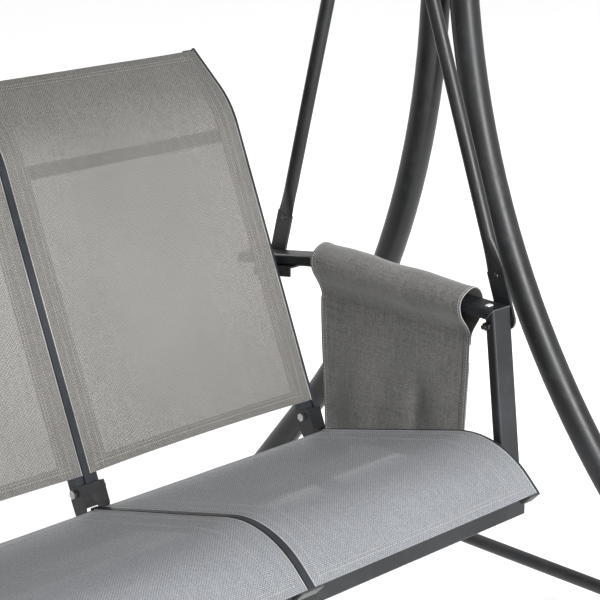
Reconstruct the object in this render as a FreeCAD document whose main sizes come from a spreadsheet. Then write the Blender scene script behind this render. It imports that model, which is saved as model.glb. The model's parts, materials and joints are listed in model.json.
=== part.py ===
import FreeCAD, Part
import math
import os

import Sketcher

# Porch swing: a three-seat sling bench that hangs by four tubes from a free-standing frame
# with bowed legs, under a tilting canopy. Millimetres, +X right, +Y to the rear, +Z up.
# The origin is on the floor, midway between the four feet.

doc = FreeCAD.newDocument("porch_swing")
Vec = FreeCAD.Vector
Rot = FreeCAD.Rotation
X_AXIS = Vec(1, 0, 0)
Y_AXIS = Vec(0, 1, 0)

DIMENSIONS = (
    # the slung seat: rails, slings and cross bars
    ("seat_pitch", 515),
    ("rail_width", 45),
    ("rail_depth", 25),
    ("rail_wall", 2),
    ("ridge_width", 12),
    ("ridge_height", 4),
    ("side_rail_width", 25),
    ("side_ridge_width", 5),
    ("rail_bend", 160),
    ("nose_front", -436),
    ("nose_height", 405),
    ("nose_angle", 44),
    ("seat_slope", 14.6),
    ("seat_corner_run", 86.3),
    ("seat_rear", 64),
    ("back_foot", 61.5),
    ("back_foot_height", 391),
    ("back_lean", 22.2),
    ("back_corner_run", 594),
    ("back_top_lean", 50),
    ("back_top_run", 131),
    ("sling_thickness", 2),
    ("sling_gap", 0.3),
    ("flat_wide", 40),
    ("flat_thick", 20),
    ("flat_wall", 2),
    ("flat_round", 4),
    ("front_bar_front", -362),
    ("front_bar_bottom", 327),
    ("front_bar_reach", 831),
    ("bar_cap", 3.5),
    ("spreader_radius", 12),
    # arms, hangers and pockets
    ("arm_centre", 805),
    ("arm_wide", 45),
    ("arm_round", 5.5),
    ("arm_front", -320),
    ("arm_front_top", 682),
    ("arm_bend", 95),
    ("arm_bend_top", 691),
    ("arm_bend_radius", 250),
    ("arm_rear", 284),
    ("arm_rear_top", 662),
    ("plug_cap", 8.5),
    ("hanger_radius", 11.9),
    ("hanger_plane", 832),
    ("hang_front_height", 655),
    ("hang_rear_y", 231),
    ("tab_thickness", 5),
    ("tab_width", 34.5),
    ("tab_length", 83),
    ("top_tab_length", 42),
    ("tab_taper", 54),
    ("rivet_height", 74),
    ("rivet_radius", 2.5),
    ("hang_bolt_radius", 4),
    ("bolt_clearance", 0.2),
    ("pocket_front", -259),
    ("pocket_length", 345),
    ("pocket_bottom", 370),
    ("pocket_mouth", 575),
    ("pocket_seam", 618),
    ("pocket_thick", 16),
    ("sleeve_height", 674),
    ("sleeve_radius", 32.5),
    ("fabric_wall", 2),
    # the stand
    ("pivot_height", 1535),
    ("pivot_radius", 5),
    ("running_gap", 0.05),
    ("bush_radius", 8),
    ("leg_plane", 1003.6),
    ("leg_splay", 3.2),
    ("leg_radius", 26),
    ("leg_wall", 2),
    ("leg_bow", 1523),
    ("leg_sweep", 40.5),
    ("leg_tail", 316),
    ("leg_spacing", 28),
    ("leg_bow_start", 1254),
    ("leg_straight", 370),
    ("brace_height", 102.5),
    ("brace_radius", 12.5),
    ("beam_height", 1590),
    ("beam_radius", 25),
    ("flange_thickness", 6),
    # the canopy
    ("canopy_pivot_height", 1665),
    ("canopy_bar_radius", 10),
    ("canopy_bar_plane", 955),
    ("canopy_arch", 2200),
    ("canopy_half_depth", 600),
    ("canopy_rise", 32),
    ("valance_drop", 115),
    ("stud_radius", 4),
)

sheet = doc.addObject("Spreadsheet::Sheet", "dims")
sheet.Label = "dims"
for row, (alias, value) in enumerate(DIMENSIONS, start=1):
    sheet.set("A%d" % row, alias)
    sheet.set("B%d" % row, str(value))
    sheet.setAlias("B%d" % row, alias)
doc.recompute()

parts = []


def dim(alias):
    """The value of one driving dimension, read back from the sheet."""
    return float(sheet.get(alias))


def cos(degrees):
    return math.cos(math.radians(degrees))


def sin(degrees):
    return math.sin(math.radians(degrees))


# ---------------------------------------------------------------- outlines

def bent_path(points, radius, offset):
    """Lines and tangent arcs through points, moved sideways: left of travel is positive."""
    directions = [(second - first).normalize() for first, second in zip(points, points[1:])]
    lefts = [Vec(-d.y, d.x, 0) for d in directions]
    start = points[0] + lefts[0] * offset
    edges = []
    for index in range(len(points) - 2):
        turn = directions[index].getAngle(directions[index + 1])
        side = 1 if directions[index].cross(directions[index + 1]).z > 0 else -1
        bend = radius - side * offset
        both_lefts = lefts[index] + lefts[index + 1]
        corner = points[index + 1] + both_lefts * (offset / (1 + math.cos(turn)))
        reach = bend * math.tan(turn / 2)
        inward = both_lefts.normalize() * side
        before = corner - directions[index] * reach
        after = corner + directions[index + 1] * reach
        middle = corner + inward * (bend / math.cos(turn / 2) - bend)
        edges.append(Part.LineSegment(start, before))
        edges.append(Part.Arc(before, middle, after))
        start = after
    edges.append(Part.LineSegment(start, points[-1] + lefts[-1] * offset))
    return edges


def ribbon(points, radius, near, far):
    """Closed outline of the band between two depths behind a bent path."""
    front = bent_path(points, radius, -near)
    back = bent_path(points, radius, -far)
    tail = Part.LineSegment(front[-1].EndPoint, back[-1].EndPoint)
    head = Part.LineSegment(back[0].StartPoint, front[0].StartPoint)
    return front + back + [tail, head]


def polygon(corners):
    """Closed outline through (u, v) corners."""
    points = [Vec(u, v, 0) for u, v in corners]
    return [Part.LineSegment(a, b) for a, b in zip(points, points[1:] + points[:1])]


def rectangle(left, right, bottom, top):
    return polygon([(left, bottom), (right, bottom), (right, top), (left, top)])


def rounded(left, right, bottom, top, radius):
    """Rectangle with round corners."""
    edges = []
    corners = ((right, top, 0), (left, top, 90), (left, bottom, 180), (right, bottom, 270))
    for u, v, turn in corners:
        inset_u = math.copysign(radius, cos(turn + 45))
        inset_v = math.copysign(radius, sin(turn + 45))
        centre = Vec(u - inset_u, v - inset_v, 0)
        spokes = [centre + Vec(cos(a), sin(a), 0) * radius for a in (turn, turn + 45, turn + 90)]
        if edges:
            edges.append(Part.LineSegment(edges[-1].EndPoint, spokes[0]))
        edges.append(Part.Arc(*spokes))
    edges.append(Part.LineSegment(edges[-1].EndPoint, edges[0].StartPoint))
    return edges


def circle(u, v, radius):
    return [Part.Circle(Vec(u, v, 0), Vec(0, 0, 1), radius)]


def spandrel(corner_u, corner_v, radius):
    """What rounding a top corner takes away: the corner outside its quarter circle."""
    inward = -math.copysign(1, corner_u)
    foot = Vec(corner_u, corner_v - radius, 0)
    head = Vec(corner_u + inward * radius, corner_v, 0)
    middle = Vec(corner_u + inward * radius * (1 - cos(45)), corner_v - radius * (1 - sin(45)), 0)
    corner = Vec(corner_u, corner_v, 0)
    return [Part.LineSegment(corner, foot), Part.Arc(foot, middle, head), Part.LineSegment(head, corner)]


def teardrop(apex, centre, radius):
    """A circle with its two tangents from a point below it."""
    to_centre = centre - apex
    half = math.asin(radius / to_centre.Length)
    heading = math.atan2(to_centre.y, to_centre.x)
    reach = to_centre.Length * math.cos(half)
    headings = (heading - half, heading + half)
    touches = [apex + Vec(math.cos(a), math.sin(a), 0) * reach for a in headings]
    crown = centre + to_centre.normalize() * radius
    return [
        Part.LineSegment(apex, touches[0]),
        Part.Arc(touches[0], crown, touches[1]),
        Part.LineSegment(touches[1], apex),
    ]


# ---------------------------------------------------------------- features

def new_body(label, placement=FreeCAD.Placement()):
    body = doc.addObject("PartDesign::Body", label)
    body.Label = label
    body.Placement = placement
    parts.append(body)
    return body


def sketch_on(body, role, outlines, start="0"):
    """A fixed sketch on one of the body's own origin planes, moved along that plane's normal."""
    plane = next(item for item in body.Origin.OriginFeatures if item.Role == role)
    sketch = body.newObject("Sketcher::SketchObject", body.Label + "_sketch")
    sketch.AttachmentSupport = [(plane, "")]
    sketch.MapMode = "FlatFace"
    sketch.setExpression("AttachmentOffset.Base.z", start)
    for index in sketch.addGeometry(outlines, False):
        sketch.addConstraint(Sketcher.Constraint("Block", index))
    return sketch


def slab(body, outlines, start, length, cut=False, role="YZ_Plane"):
    """Pad, or pocket, an outline from start over length along the plane's normal."""
    sketch = sketch_on(body, role, outlines, start)
    kind = "PartDesign::Pocket" if cut else "PartDesign::Pad"
    feature = body.newObject(kind, body.Label + ("_pocket" if cut else "_pad"))
    feature.Profile = sketch
    feature.setExpression("Length", length)
    feature.Reversed = cut
    return feature


def pipe(body, ring, start, path):
    """Sweep a ring, drawn on the XY plane moved up by start, along a path on the YZ plane."""
    feature = body.newObject("PartDesign::AdditivePipe", body.Label + "_pipe")
    feature.Profile = sketch_on(body, "XY_Plane", ring, start)
    feature.Spine = sketch_on(body, "YZ_Plane", path)
    doc.recompute()
    return feature


def centred(width):
    """Start and length expressions of a slab centred on the plane."""
    return "-(%s) / 2" % width, width


def drill(body, spots, radius, start="-60", length="120", role="YZ_Plane"):
    """Round holes through the body, along the plane's normal."""
    before = body.Shape.Volume if body.Shape.isValid() else 0
    circles = [Part.Circle(Vec(u, v, 0), Vec(0, 0, 1), radius) for u, v in spots]
    feature = slab(body, circles, start, length, cut=True, role=role)
    doc.recompute()
    if not body.Shape.Volume < before:
        raise RuntimeError("a hole in %s cuts nothing" % body.Label)
    return feature


def solid(kind, label, placement=FreeCAD.Placement(), **sizes):
    """A Part primitive whose sizes are expressions."""
    item = doc.addObject(kind, label)
    item.Placement = placement
    for name, expression in sizes.items():
        item.setExpression(name, expression)
    return item


def combine(kind, label, first, second):
    item = doc.addObject(kind, label)
    item.Base = first
    item.Tool = second
    return item


def keep(item, label):
    item.Label = label
    parts.append(item)
    return item


def group(label, items):
    """Several loose solids in one named sub-part."""
    for item in items:
        if item in parts:
            parts.remove(item)
    compound = doc.addObject("Part::Compound", label)
    compound.Links = items
    return keep(compound, label)


def bolt(label, placement, grip, radius="dims.hang_bolt_radius"):
    """Hex bolt along local Z: head below zero, shank through the grip, nut above it."""
    across = "(%s) * 1.9" % radius
    head_height = "(%s) * 1.3" % radius
    nut_height = "(%s) * 1.5" % radius
    head = solid("Part::Prism", label + "_head", Circumradius=across, Height=head_height)
    nut = solid("Part::Prism", label + "_nut", Circumradius=across, Height=nut_height)
    shank = solid("Part::Cylinder", label + "_shank", Radius=radius, Height="%s + (%s) * 4" % (grip, radius))
    head.setExpression("Placement.Base.z", "-" + head_height)
    nut.setExpression("Placement.Base.z", grip)
    shank.setExpression("Placement.Base.z", "-(%s) * 0.8" % radius)
    whole = doc.addObject("Part::MultiFuse", label)
    whole.Shapes = [head, shank, nut]
    whole.Placement = placement
    return whole


def along(direction, position):
    """Placement that turns local Z to a direction."""
    return FreeCAD.Placement(position, Rot(Vec(0, 0, 1), direction))


SIDES = (("left", -1), ("right", 1))
RAILS = (("left_side", -1.5), ("left_inner", -0.5), ("right_inner", 0.5), ("right_side", 1.5))
PANELS = (("left", -1), ("centre", 0), ("right", 1))

# ---------------------------------------------------------------- the slung seat

# The seat rail runs from its nose tip up over the bend and down the slope to the hinge;
# the back rail from the hinge up the lean and over the top bend. The sitter's side is left of travel.
nose = Vec(dim("nose_front"), dim("nose_height"), 0)
seat_corner = nose + Vec(1, math.tan(math.radians(dim("nose_angle"))), 0) * dim("seat_corner_run")
seat_fall = math.tan(math.radians(dim("seat_slope")))


def seat_line(rear):
    return Vec(rear, seat_corner.y - (rear - seat_corner.x) * seat_fall, 0)


SEAT_PATH = [nose, seat_corner, seat_line(dim("seat_rear"))]
seat_down = Vec(-seat_fall, -1, 0).normalize()
back_foot = Vec(dim("back_foot"), dim("back_foot_height"), 0)
back_up = Vec(sin(dim("back_lean")), cos(dim("back_lean")), 0)
back_corner = back_foot + back_up * dim("back_corner_run")
back_over = Vec(sin(dim("back_top_lean")), cos(dim("back_top_lean")), 0)
BACK_PATH = [back_foot, back_corner, back_corner + back_over * dim("back_top_run")]

hinge_bolt = back_foot + back_up * 20 + Vec(back_up.y, -back_up.x, 0) * 12
rail_bolt = seat_line(34) + seat_down * 14
arm_bolt = back_foot + back_up * 281.5 + Vec(back_up.y, -back_up.x, 0) * 14


def rail_centre(place):
    """X of a rail's mid-width; the side rails' outer edges end the seat."""
    if abs(place) < 1:
        return place * dim("seat_pitch")
    return place * dim("seat_pitch") - math.copysign(dim("side_rail_width") / 2, place)


def sling_rail(label, place, path, holes):
    """Hollow rail with a raised ridge that the slings stop against."""
    body = new_body(label, FreeCAD.Placement(Vec(rail_centre(place), 0, 0), Rot()))
    inner = abs(place) < 1
    width = "dims.rail_width" if inner else "dims.side_rail_width"
    depth, wall, bend = dim("rail_depth"), dim("rail_wall"), dim("rail_bend")
    shoulder = dim("ridge_height")
    slab(body, ribbon(path, bend, shoulder, depth), *centred(width))
    bore = ribbon(path, bend, shoulder + wall, depth - wall)
    slab(body, bore, *centred(width + " - 2 * dims.rail_wall"), cut=True)
    ridge = ribbon(path, bend, 0, shoulder + wall / 2)
    if inner:
        slab(body, ridge, *centred("dims.ridge_width"))
    else:
        outer_edge = "dims.side_rail_width / 2"
        start = outer_edge + " - dims.side_ridge_width" if place > 0 else "-" + outer_edge
        slab(body, ridge, start, "dims.side_ridge_width")
    doc.recompute()
    drill(body, [(spot.x, spot.y) for spot in holes], dim("stud_radius") + dim("bolt_clearance"))


for name, place in RAILS:
    sling_rail("seat_rail_" + name, place, SEAT_PATH, [rail_bolt])
    back_holes = [hinge_bolt] if abs(place) < 1 else [hinge_bolt, arm_bolt]
    sling_rail("back_rail_" + name, place, BACK_PATH, back_holes)


def trimmed(path, head, tail):
    """The same path with both ends cut back."""
    first = (path[1] - path[0]).normalize()
    last = (path[-1] - path[-2]).normalize()
    return [path[0] + first * head, path[1], path[-1] - last * tail]


def sling(label, panel, path):
    """Stretched mesh panel between two rails' ridges."""
    body = new_body(label)
    near = dim("ridge_height") - dim("sling_gap") - dim("sling_thickness")
    outline = ribbon(path, dim("rail_bend"), near, near + dim("sling_thickness"))
    middle = "dims.ridge_width / 2 + 3.5"
    edge = "1.5 * dims.seat_pitch - dims.side_ridge_width - 0.5"
    if panel == 0:
        start, end = "-(0.5 * dims.seat_pitch - (%s))" % middle, "0.5 * dims.seat_pitch - (%s)" % middle
    elif panel > 0:
        start, end = "0.5 * dims.seat_pitch + " + middle, edge
    else:
        start, end = "-(%s)" % edge, "-(0.5 * dims.seat_pitch + %s)" % middle
    slab(body, outline, start, "(%s) - (%s)" % (end, start))


for name, panel in PANELS:
    sling("seat_sling_" + name, panel, trimmed(SEAT_PATH, 1, 14))
    sling("back_sling_" + name, panel, trimmed(BACK_PATH, 45, 4))


def hinge_bracket(label, place):
    """U plate: its web crosses the back rail's foot and its ears reach down the seat rail."""
    body = new_body(label, FreeCAD.Placement(Vec(rail_centre(place), 0, 0), Rot()))
    width = "dims.rail_width" if abs(place) < 1 else "dims.side_rail_width"
    across = Vec(back_up.y, -back_up.x, 0)
    web = [back_foot + back_up * up - across * out for up, out in ((-6, 8), (31, 8), (31, 6), (-6, 6))]
    slab(body, polygon([(p.x, p.y) for p in web]), *centred(width + " + 4"))
    top = [back_foot + back_up * 31 - across * 8, back_foot + back_up * 31 + across * 21]
    rear = [back_foot + back_up * 9 + across * 26, back_foot - back_up * 15 + across * 25]
    low = [rail_bolt + Vec(14, -10, 0), rail_bolt + Vec(-10, -8, 0)]
    # in front of the sling's rear edge the ear stays below the sling
    below_sling = [seat_line(y) + seat_down * 5.5 for y in (22, 53)]
    web_foot = [back_foot - back_up * 6 - across * 8]
    ear = polygon([(p.x, p.y) for p in top + rear + low + below_sling + web_foot])
    for start in ("-(%s) / 2 - 2" % width, "(%s) / 2" % width):
        slab(body, ear, start, "2")
    doc.recompute()
    spots = [(hinge_bolt.x, hinge_bolt.y), (rail_bolt.x, rail_bolt.y)]
    drill(body, spots, dim("stud_radius") + dim("bolt_clearance"))
    return body


hinge_brackets = []
hinge_bolts = []
for name, place in RAILS:
    hinge_brackets.append(hinge_bracket("hinge_bracket_" + name, place))
    width_name = "dims.rail_width" if abs(place) < 1 else "dims.side_rail_width"
    half = dim(width_name.split(".")[1]) / 2 + 2
    for spot in (hinge_bolt, rail_bolt):
        tag = "hinge_bolt_%s_%d" % (name, spot.y)
        centre = Vec(rail_centre(place) - half, spot.x, spot.y)
        hinge_bolts.append(bolt(tag, along(X_AXIS, centre), width_name + " + 4", "dims.stud_radius"))
group("hinge_brackets", hinge_brackets)
group("hinge_bolts", hinge_bolts)


def flat_tube(label, length, placement, role="YZ_Plane"):
    """Rounded flat tube, open at both ends, centred on the body's origin."""
    body = new_body(label, placement)
    wide, thick = dim("flat_wide") / 2, dim("flat_thick") / 2
    wall, corner = dim("flat_wall"), dim("flat_round")
    slab(body, rounded(-thick, thick, -wide, wide, corner), *centred(length), role=role)
    bore = rounded(wall - thick, thick - wall, wall - wide, wide - wall, corner - wall)
    slab(body, bore, *centred(length), cut=True, role=role)
    return body


BAR_LENGTH = "2 * (dims.front_bar_reach - dims.bar_cap)"
bar_y = dim("front_bar_front") + dim("flat_thick") / 2
bar_z = dim("front_bar_bottom") + dim("flat_wide") / 2
flat_tube("front_seat_bar", BAR_LENGTH, FreeCAD.Placement(Vec(0, bar_y, bar_z), Rot()))

# The rear bar lies flat under the rails, square to their slope.
under = seat_line(20) + seat_down * (dim("rail_depth") + dim("flat_thick") / 2)
rear_turn = Rot(X_AXIS, 90 - dim("seat_slope"))
flat_tube("rear_seat_bar", "3 * dims.seat_pitch", FreeCAD.Placement(Vec(0, under.x, under.y), rear_turn))

nose_centre = seat_corner + Vec(
    sin((dim("nose_angle") - dim("seat_slope")) / 2),
    -cos((dim("nose_angle") - dim("seat_slope")) / 2), 0
) * (dim("rail_bend") / cos((dim("nose_angle") + dim("seat_slope")) / 2))


def rail_underside(y):
    """Height of the seat rail's underside within the nose bend."""
    reach = dim("rail_bend") - dim("rail_depth")
    return nose_centre.y + math.sqrt(reach ** 2 - (y - nose_centre.x) ** 2)


front_face = dim("front_bar_front")
rear_face = front_face + dim("flat_thick")
bar_top = dim("front_bar_bottom") + dim("flat_wide")
nose_risers = []
for name, place in RAILS:
    riser = new_body("nose_riser_" + name, FreeCAD.Placement(Vec(rail_centre(place), 0, 0), Rot()))
    profile = polygon([
        (front_face, bar_top),
        (rear_face, bar_top),
        (rear_face, rail_underside(rear_face)),
        (front_face, rail_underside(front_face)),
    ])
    slab(riser, profile, *centred("dims.side_rail_width - 5"))
    nose_risers.append(riser)
group("nose_risers", nose_risers)

across_back = Vec(back_up.y, -back_up.x, 0)
spreader_spot = back_foot + back_up * 543 + across_back * (dim("rail_depth") + dim("spreader_radius"))
spreader = new_body("back_spreader", FreeCAD.Placement(Vec(0, spreader_spot.x, spreader_spot.y), Rot()))
slab(spreader, circle(0, 0, dim("spreader_radius")), *centred("3 * dims.seat_pitch - 10"))
slab(spreader, circle(0, 0, dim("spreader_radius") - 1.5), *centred("3 * dims.seat_pitch - 10"), cut=True)

# ---------------------------------------------------------------- arms, hangers and pockets

post_lean = math.degrees(math.atan2(
    dim("arm_front") - front_face, dim("arm_front_top") - dim("front_bar_bottom")))
arm_line = [
    Vec(dim("arm_front") - (dim("arm_front_top") - bar_top) * math.tan(math.radians(post_lean)), bar_top, 0),
    Vec(dim("arm_front"), dim("arm_front_top"), 0),
    Vec(dim("arm_bend"), dim("arm_bend_top"), 0),
    Vec(dim("arm_rear"), dim("arm_rear_top"), 0),
]
arm_heads = [(second - first).normalize() for first, second in zip(arm_line, arm_line[1:])]
arm_rise = math.degrees(math.atan2(arm_heads[1].y, arm_heads[1].x))
arm_fall = math.degrees(math.atan2(-arm_heads[2].y, arm_heads[2].x))


def inset(depth):
    """Foot, mitre, bend and rear end of the arm's outer line, moved that far into the tube."""
    rights = [Vec(d.y, -d.x, 0) for d in arm_heads]
    points = [arm_line[0] + Vec(depth / cos(post_lean), 0, 0)]
    for index in (0, 1):
        turn = arm_heads[index].getAngle(arm_heads[index + 1])
        both = rights[index] + rights[index + 1]
        points.append(arm_line[index + 1] + both * (depth / (1 + math.cos(turn))))
    return points + [arm_line[3] + rights[2] * depth]


def arm_outline(near, far):
    """The armrest between two depths under its top: mitre, straight, bend, straight."""
    upper = bent_path(inset(near)[1:], dim("arm_bend_radius") - near, 0)
    lower = bent_path(inset(far)[1:], dim("arm_bend_radius") - far, 0)
    tail = Part.LineSegment(upper[-1].EndPoint, lower[-1].EndPoint)
    head = Part.LineSegment(lower[0].StartPoint, upper[0].StartPoint)
    return upper + lower + [tail, head]


def post_outline(near, far):
    """The leaning arm post between two depths behind its front face."""
    front, back = inset(near), inset(far)
    return polygon([(p.x, p.y) for p in (front[0], front[1], back[1], back[0])])


def under_arm(y):
    """Height of the sloping rear half's underside."""
    end = inset(dim("flat_thick"))[3]
    return end.y + (end.x - y) * math.tan(math.radians(arm_fall))


half_thick = dim("flat_thick") / 2
front_share = (dim("hang_front_height") - bar_top) / (inset(half_thick)[1].y - bar_top)
front_axis = inset(half_thick)[0] + (inset(half_thick)[1] - inset(half_thick)[0]) * front_share
hang_front = Vec(0, front_axis.x + 3, dim("hang_front_height"))
hang_rear = Vec(0, dim("hang_rear_y"), under_arm(dim("hang_rear_y")) + half_thick / cos(arm_fall))


def mitred_tube(label, side, outline, bore, holes):
    """Flat tube drawn from the side, with its two walls facing left and right."""
    body = new_body(label, FreeCAD.Placement(Vec(side * dim("arm_centre"), 0, 0), Rot()))
    block = slab(body, outline, *centred("dims.arm_wide"))
    doc.recompute()
    long_edges = []
    for number, edge in enumerate(block.Shape.Edges, start=1):
        ends = [vertex.Point for vertex in edge.Vertexes]
        if len(ends) == 2 and abs(ends[0].x - ends[1].x) < 0.01 and edge.Length > 30:
            long_edges.append("Edge%d" % number)
    fillet = body.newObject("PartDesign::Fillet", label + "_fillet")
    fillet.Base = (block, long_edges)
    fillet.setExpression("Radius", "dims.arm_round")
    slab(body, bore, *centred("dims.arm_wide - 2 * dims.flat_wall"), cut=True)
    doc.recompute()
    drill(body, holes, dim("hang_bolt_radius") + dim("bolt_clearance"))
    return body


wall, thick = dim("flat_wall"), dim("flat_thick")
for name, side in SIDES:
    mitred_tube("armrest_" + name, side, arm_outline(0, thick), arm_outline(wall, thick - wall),
                [(hang_rear.y, hang_rear.z)])
    mitred_tube("arm_post_" + name, side, post_outline(0, thick), post_outline(wall, thick - wall),
                [(hang_front.y, hang_front.z)])


def end_plug(label, placement, width, corner, cap_name):
    """Plastic plug: a domed cap over the tube's end and a tongue inside it. Local Z points out."""
    body = new_body(label, placement)
    thick, wide, cap = dim("flat_thick") / 2, width / 2, dim(cap_name)
    slab(body, rounded(-thick, thick, -wide, wide, corner), "0", "dims." + cap_name, role="XY_Plane")
    dome = cap - 0.5
    for half, role in ((thick, "XZ_Plane"), (wide, "YZ_Plane")):
        corners = spandrel(half, cap, dome) + spandrel(-half, cap, dome)
        slab(body, corners, *centred("2 * dims.flat_wide"), cut=True, role=role)
    gap = dim("flat_wall") + 0.3
    tongue = rounded(gap - thick, thick - gap, gap - wide, wide - gap, 3)
    slab(body, tongue, "-15", "16", role="XY_Plane")
    return body


def rail_plug(label, place, end, outward):
    """Plastic plug in a rail's open end; outward points out of the end."""
    body = new_body(label, FreeCAD.Placement(Vec(rail_centre(place), 0, 0), Rot()))
    width = "dims.rail_width" if abs(place) < 1 else "dims.side_rail_width"
    near, far = dim("ridge_height"), dim("rail_depth")
    slack = dim("rail_wall") + 0.3
    deeper = Vec(-outward.y, outward.x, 0)
    for out, back, top, base, shrink in (
            (3, 0, 0.5, far, "0"),
            (1, -10, near + slack, far - slack, "2 * dims.rail_wall + 0.6")):
        spots = [end + outward * a + deeper * b for a, b in ((out, top), (back, top), (back, base), (out, base))]
        slab(body, polygon([(p.x, p.y) for p in spots]), *centred(width + " - (" + shrink + ")"))
    return body


plugs = [rail_plug("foot_plug_" + name, place, back_foot, back_up * -1) for name, place in RAILS]
nose_out = (nose - seat_corner).normalize()
plugs += [rail_plug("nose_plug_" + name, place, nose, nose_out) for name, place in RAILS]
arm_end = inset(half_thick)[3]
for name, side in SIDES:
    spot = Vec(side * dim("arm_centre"), arm_end.x, arm_end.y)
    turn = Rot(X_AXIS, -90 - arm_fall).multiply(Rot(Vec(0, 0, 1), 90))
    place = FreeCAD.Placement(spot, turn)
    plugs.append(end_plug("arm_plug_" + name, place, dim("arm_wide"), dim("arm_round"), "plug_cap"))
    spot = Vec(side * (dim("front_bar_reach") - dim("bar_cap")), bar_y, bar_z)
    turn = Rot(Y_AXIS, side * 90).multiply(Rot(Vec(0, 0, 1), 90))
    place = FreeCAD.Placement(spot, turn)
    plugs.append(end_plug("bar_plug_" + name, place, dim("flat_wide"), dim("flat_round"), "bar_cap"))
group("tube_end_plugs", plugs)

# Angle plates join the armrests' undersides to the side back rails.
side_edge = 1.5 * dim("seat_pitch")
angle_plates = []
angle_bolts = []
for name, side in SIDES:
    plate = new_body("arm_angle_" + name)
    angle_plates.append(plate)
    front_end, rear_end = 140, 232
    for reach, deep in (("3", 18), ("45", 3)):
        plate_start = "%d * (1.5 * dims.seat_pitch) - %s" % (side, "0" if side > 0 else reach)
        outline = polygon([
            (front_end, under_arm(front_end)),
            (rear_end, under_arm(rear_end)),
            (rear_end, under_arm(rear_end) - deep),
            (front_end, under_arm(front_end) - deep),
        ])
        slab(plate, outline, plate_start, reach)
    doc.recompute()
    drill(plate, [(arm_bolt.x, arm_bolt.y)], dim("stud_radius") + dim("bolt_clearance"),
          "%d * (1.5 * dims.seat_pitch) - 10" % side, "20")
    inner_face = Vec(side * (side_edge - dim("side_rail_width")), arm_bolt.x, arm_bolt.y)
    outward = along(X_AXIS * side, inner_face)
    angle_bolts.append(bolt("angle_bolt_" + name, outward, "dims.side_rail_width + 3"))
group("arm_angles", angle_plates)
group("arm_angle_bolts", angle_bolts)


tab_centre = dim("arm_centre") + dim("arm_wide") / 2 + 0.5 + dim("tab_thickness") / 2


def squeezed_end(body, hole, out, flat, shift):
    """Tab round a hole on the tube's axis, and the taper to it; out points along the tube's end."""
    half_wide, half_thick = dim("tab_width") / 2, dim("tab_thickness") / 2
    flat_end = hole - out * flat
    round_end = flat_end - out * dim("tab_taper")
    oval = Part.Ellipse(Vec(shift, half_wide, 0), Vec(shift + half_thick, 0, 0), Vec(shift, 0, 0))
    taper = body.newObject("PartDesign::AdditiveLoft", body.Label + "_taper")
    taper.Profile = sketch_on(body, "XY_Plane", circle(0, 0, dim("hanger_radius")), "%f" % round_end)
    taper.Sections = [sketch_on(body, "XY_Plane", [oval], "%f" % flat_end)]
    tab = [
        Part.LineSegment(Vec(-half_wide, flat_end, 0), Vec(-half_wide, hole, 0)),
        Part.Arc(Vec(-half_wide, hole, 0), Vec(0, hole + out * half_wide, 0), Vec(half_wide, hole, 0)),
        Part.LineSegment(Vec(half_wide, hole, 0), Vec(half_wide, flat_end, 0)),
        Part.LineSegment(Vec(half_wide, flat_end, 0), Vec(-half_wide, flat_end, 0)),
    ]
    slab(body, tab, "%f - dims.tab_thickness / 2" % shift, "dims.tab_thickness")


def hanger(label, side, lower, upper_shift):
    """Straight tube with both ends squeezed to drilled tabs. Local Z runs up to the pivot."""
    reach = Vec(0, 0, dim("pivot_height")) - lower
    lean = math.degrees(math.atan2(-reach.y, reach.z))
    base = Vec(side * dim("hanger_plane"), lower.y, lower.z)
    body = new_body(label, FreeCAD.Placement(base, Rot(X_AXIS, lean)))
    tube_start = dim("tab_length") + dim("tab_taper")
    tube_length = reach.Length - tube_start - dim("top_tab_length") - dim("tab_taper")
    middle = ("%f" % tube_start, "%f" % tube_length)
    slab(body, circle(0, 0, dim("hanger_radius")), *middle, role="XY_Plane")
    squeezed_end(body, 0, -1, dim("tab_length"), -side * (dim("hanger_plane") - tab_centre))
    squeezed_end(body, reach.Length, 1, dim("top_tab_length"), upper_shift)
    slab(body, circle(0, 0, dim("hanger_radius") - 1.5), *middle, cut=True, role="XY_Plane")
    doc.recompute()
    drill(body, [(0, 0)], dim("hang_bolt_radius") + dim("bolt_clearance"))
    drill(body, [(0, dim("rivet_height"))], dim("rivet_radius"))
    drill(body, [(0, reach.Length)], dim("bush_radius"))
    return body


def rivet(label, side, hanger_body):
    """Domed rivet through the lower tab."""
    shift = -side * (dim("hanger_plane") - tab_centre)
    spot = hanger_body.Placement.multVec(Vec(shift, 0, dim("rivet_height")))
    shank = solid("Part::Cylinder", label + "_shank", Radius="dims.rivet_radius - 0.05",
                  Height="dims.tab_thickness + 1")
    shank.setExpression("Placement.Base.z", "-dims.tab_thickness / 2 - 0.5")
    pieces = [shank]
    for end, out in (("outer", 1), ("inner", -1)):
        head = solid("Part::Ellipsoid", "%s_%s" % (label, end), along(Vec(0, 0, out), Vec(0, 0, 0)),
                     Radius1="1.8", Radius2="2 * dims.rivet_radius", Angle1="0", Angle2="90")
        head.setExpression("Placement.Base.z", "%d * dims.tab_thickness / 2" % out)
        pieces.append(head)
    whole = doc.addObject("Part::MultiFuse", label)
    whole.Shapes = pieces
    whole.Placement = along(X_AXIS, spot)
    return whole


hang_bolts = []
for name, side in SIDES:
    hangers = (
        hanger("front_hanger_" + name, side, hang_front, -4 * side),
        hanger("rear_hanger_" + name, side, hang_rear, 4 * side),
    )
    for end, tube in zip(("front", "rear"), hangers):
        hang_bolts.append(rivet("hang_rivet_%s_%s" % (end, name), side, tube))
    for end, spot in (("front", hang_front), ("rear", hang_rear)):
        outer_face = Vec(side * (tab_centre + dim("tab_thickness") / 2), spot.y, spot.z)
        grip = "dims.arm_wide + dims.tab_thickness + 1"
        hang_bolts.append(bolt("hang_bolt_%s_%s" % (end, name), along(X_AXIS * -side, outer_face), grip))
group("hanger_bolts", hang_bolts)


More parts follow.
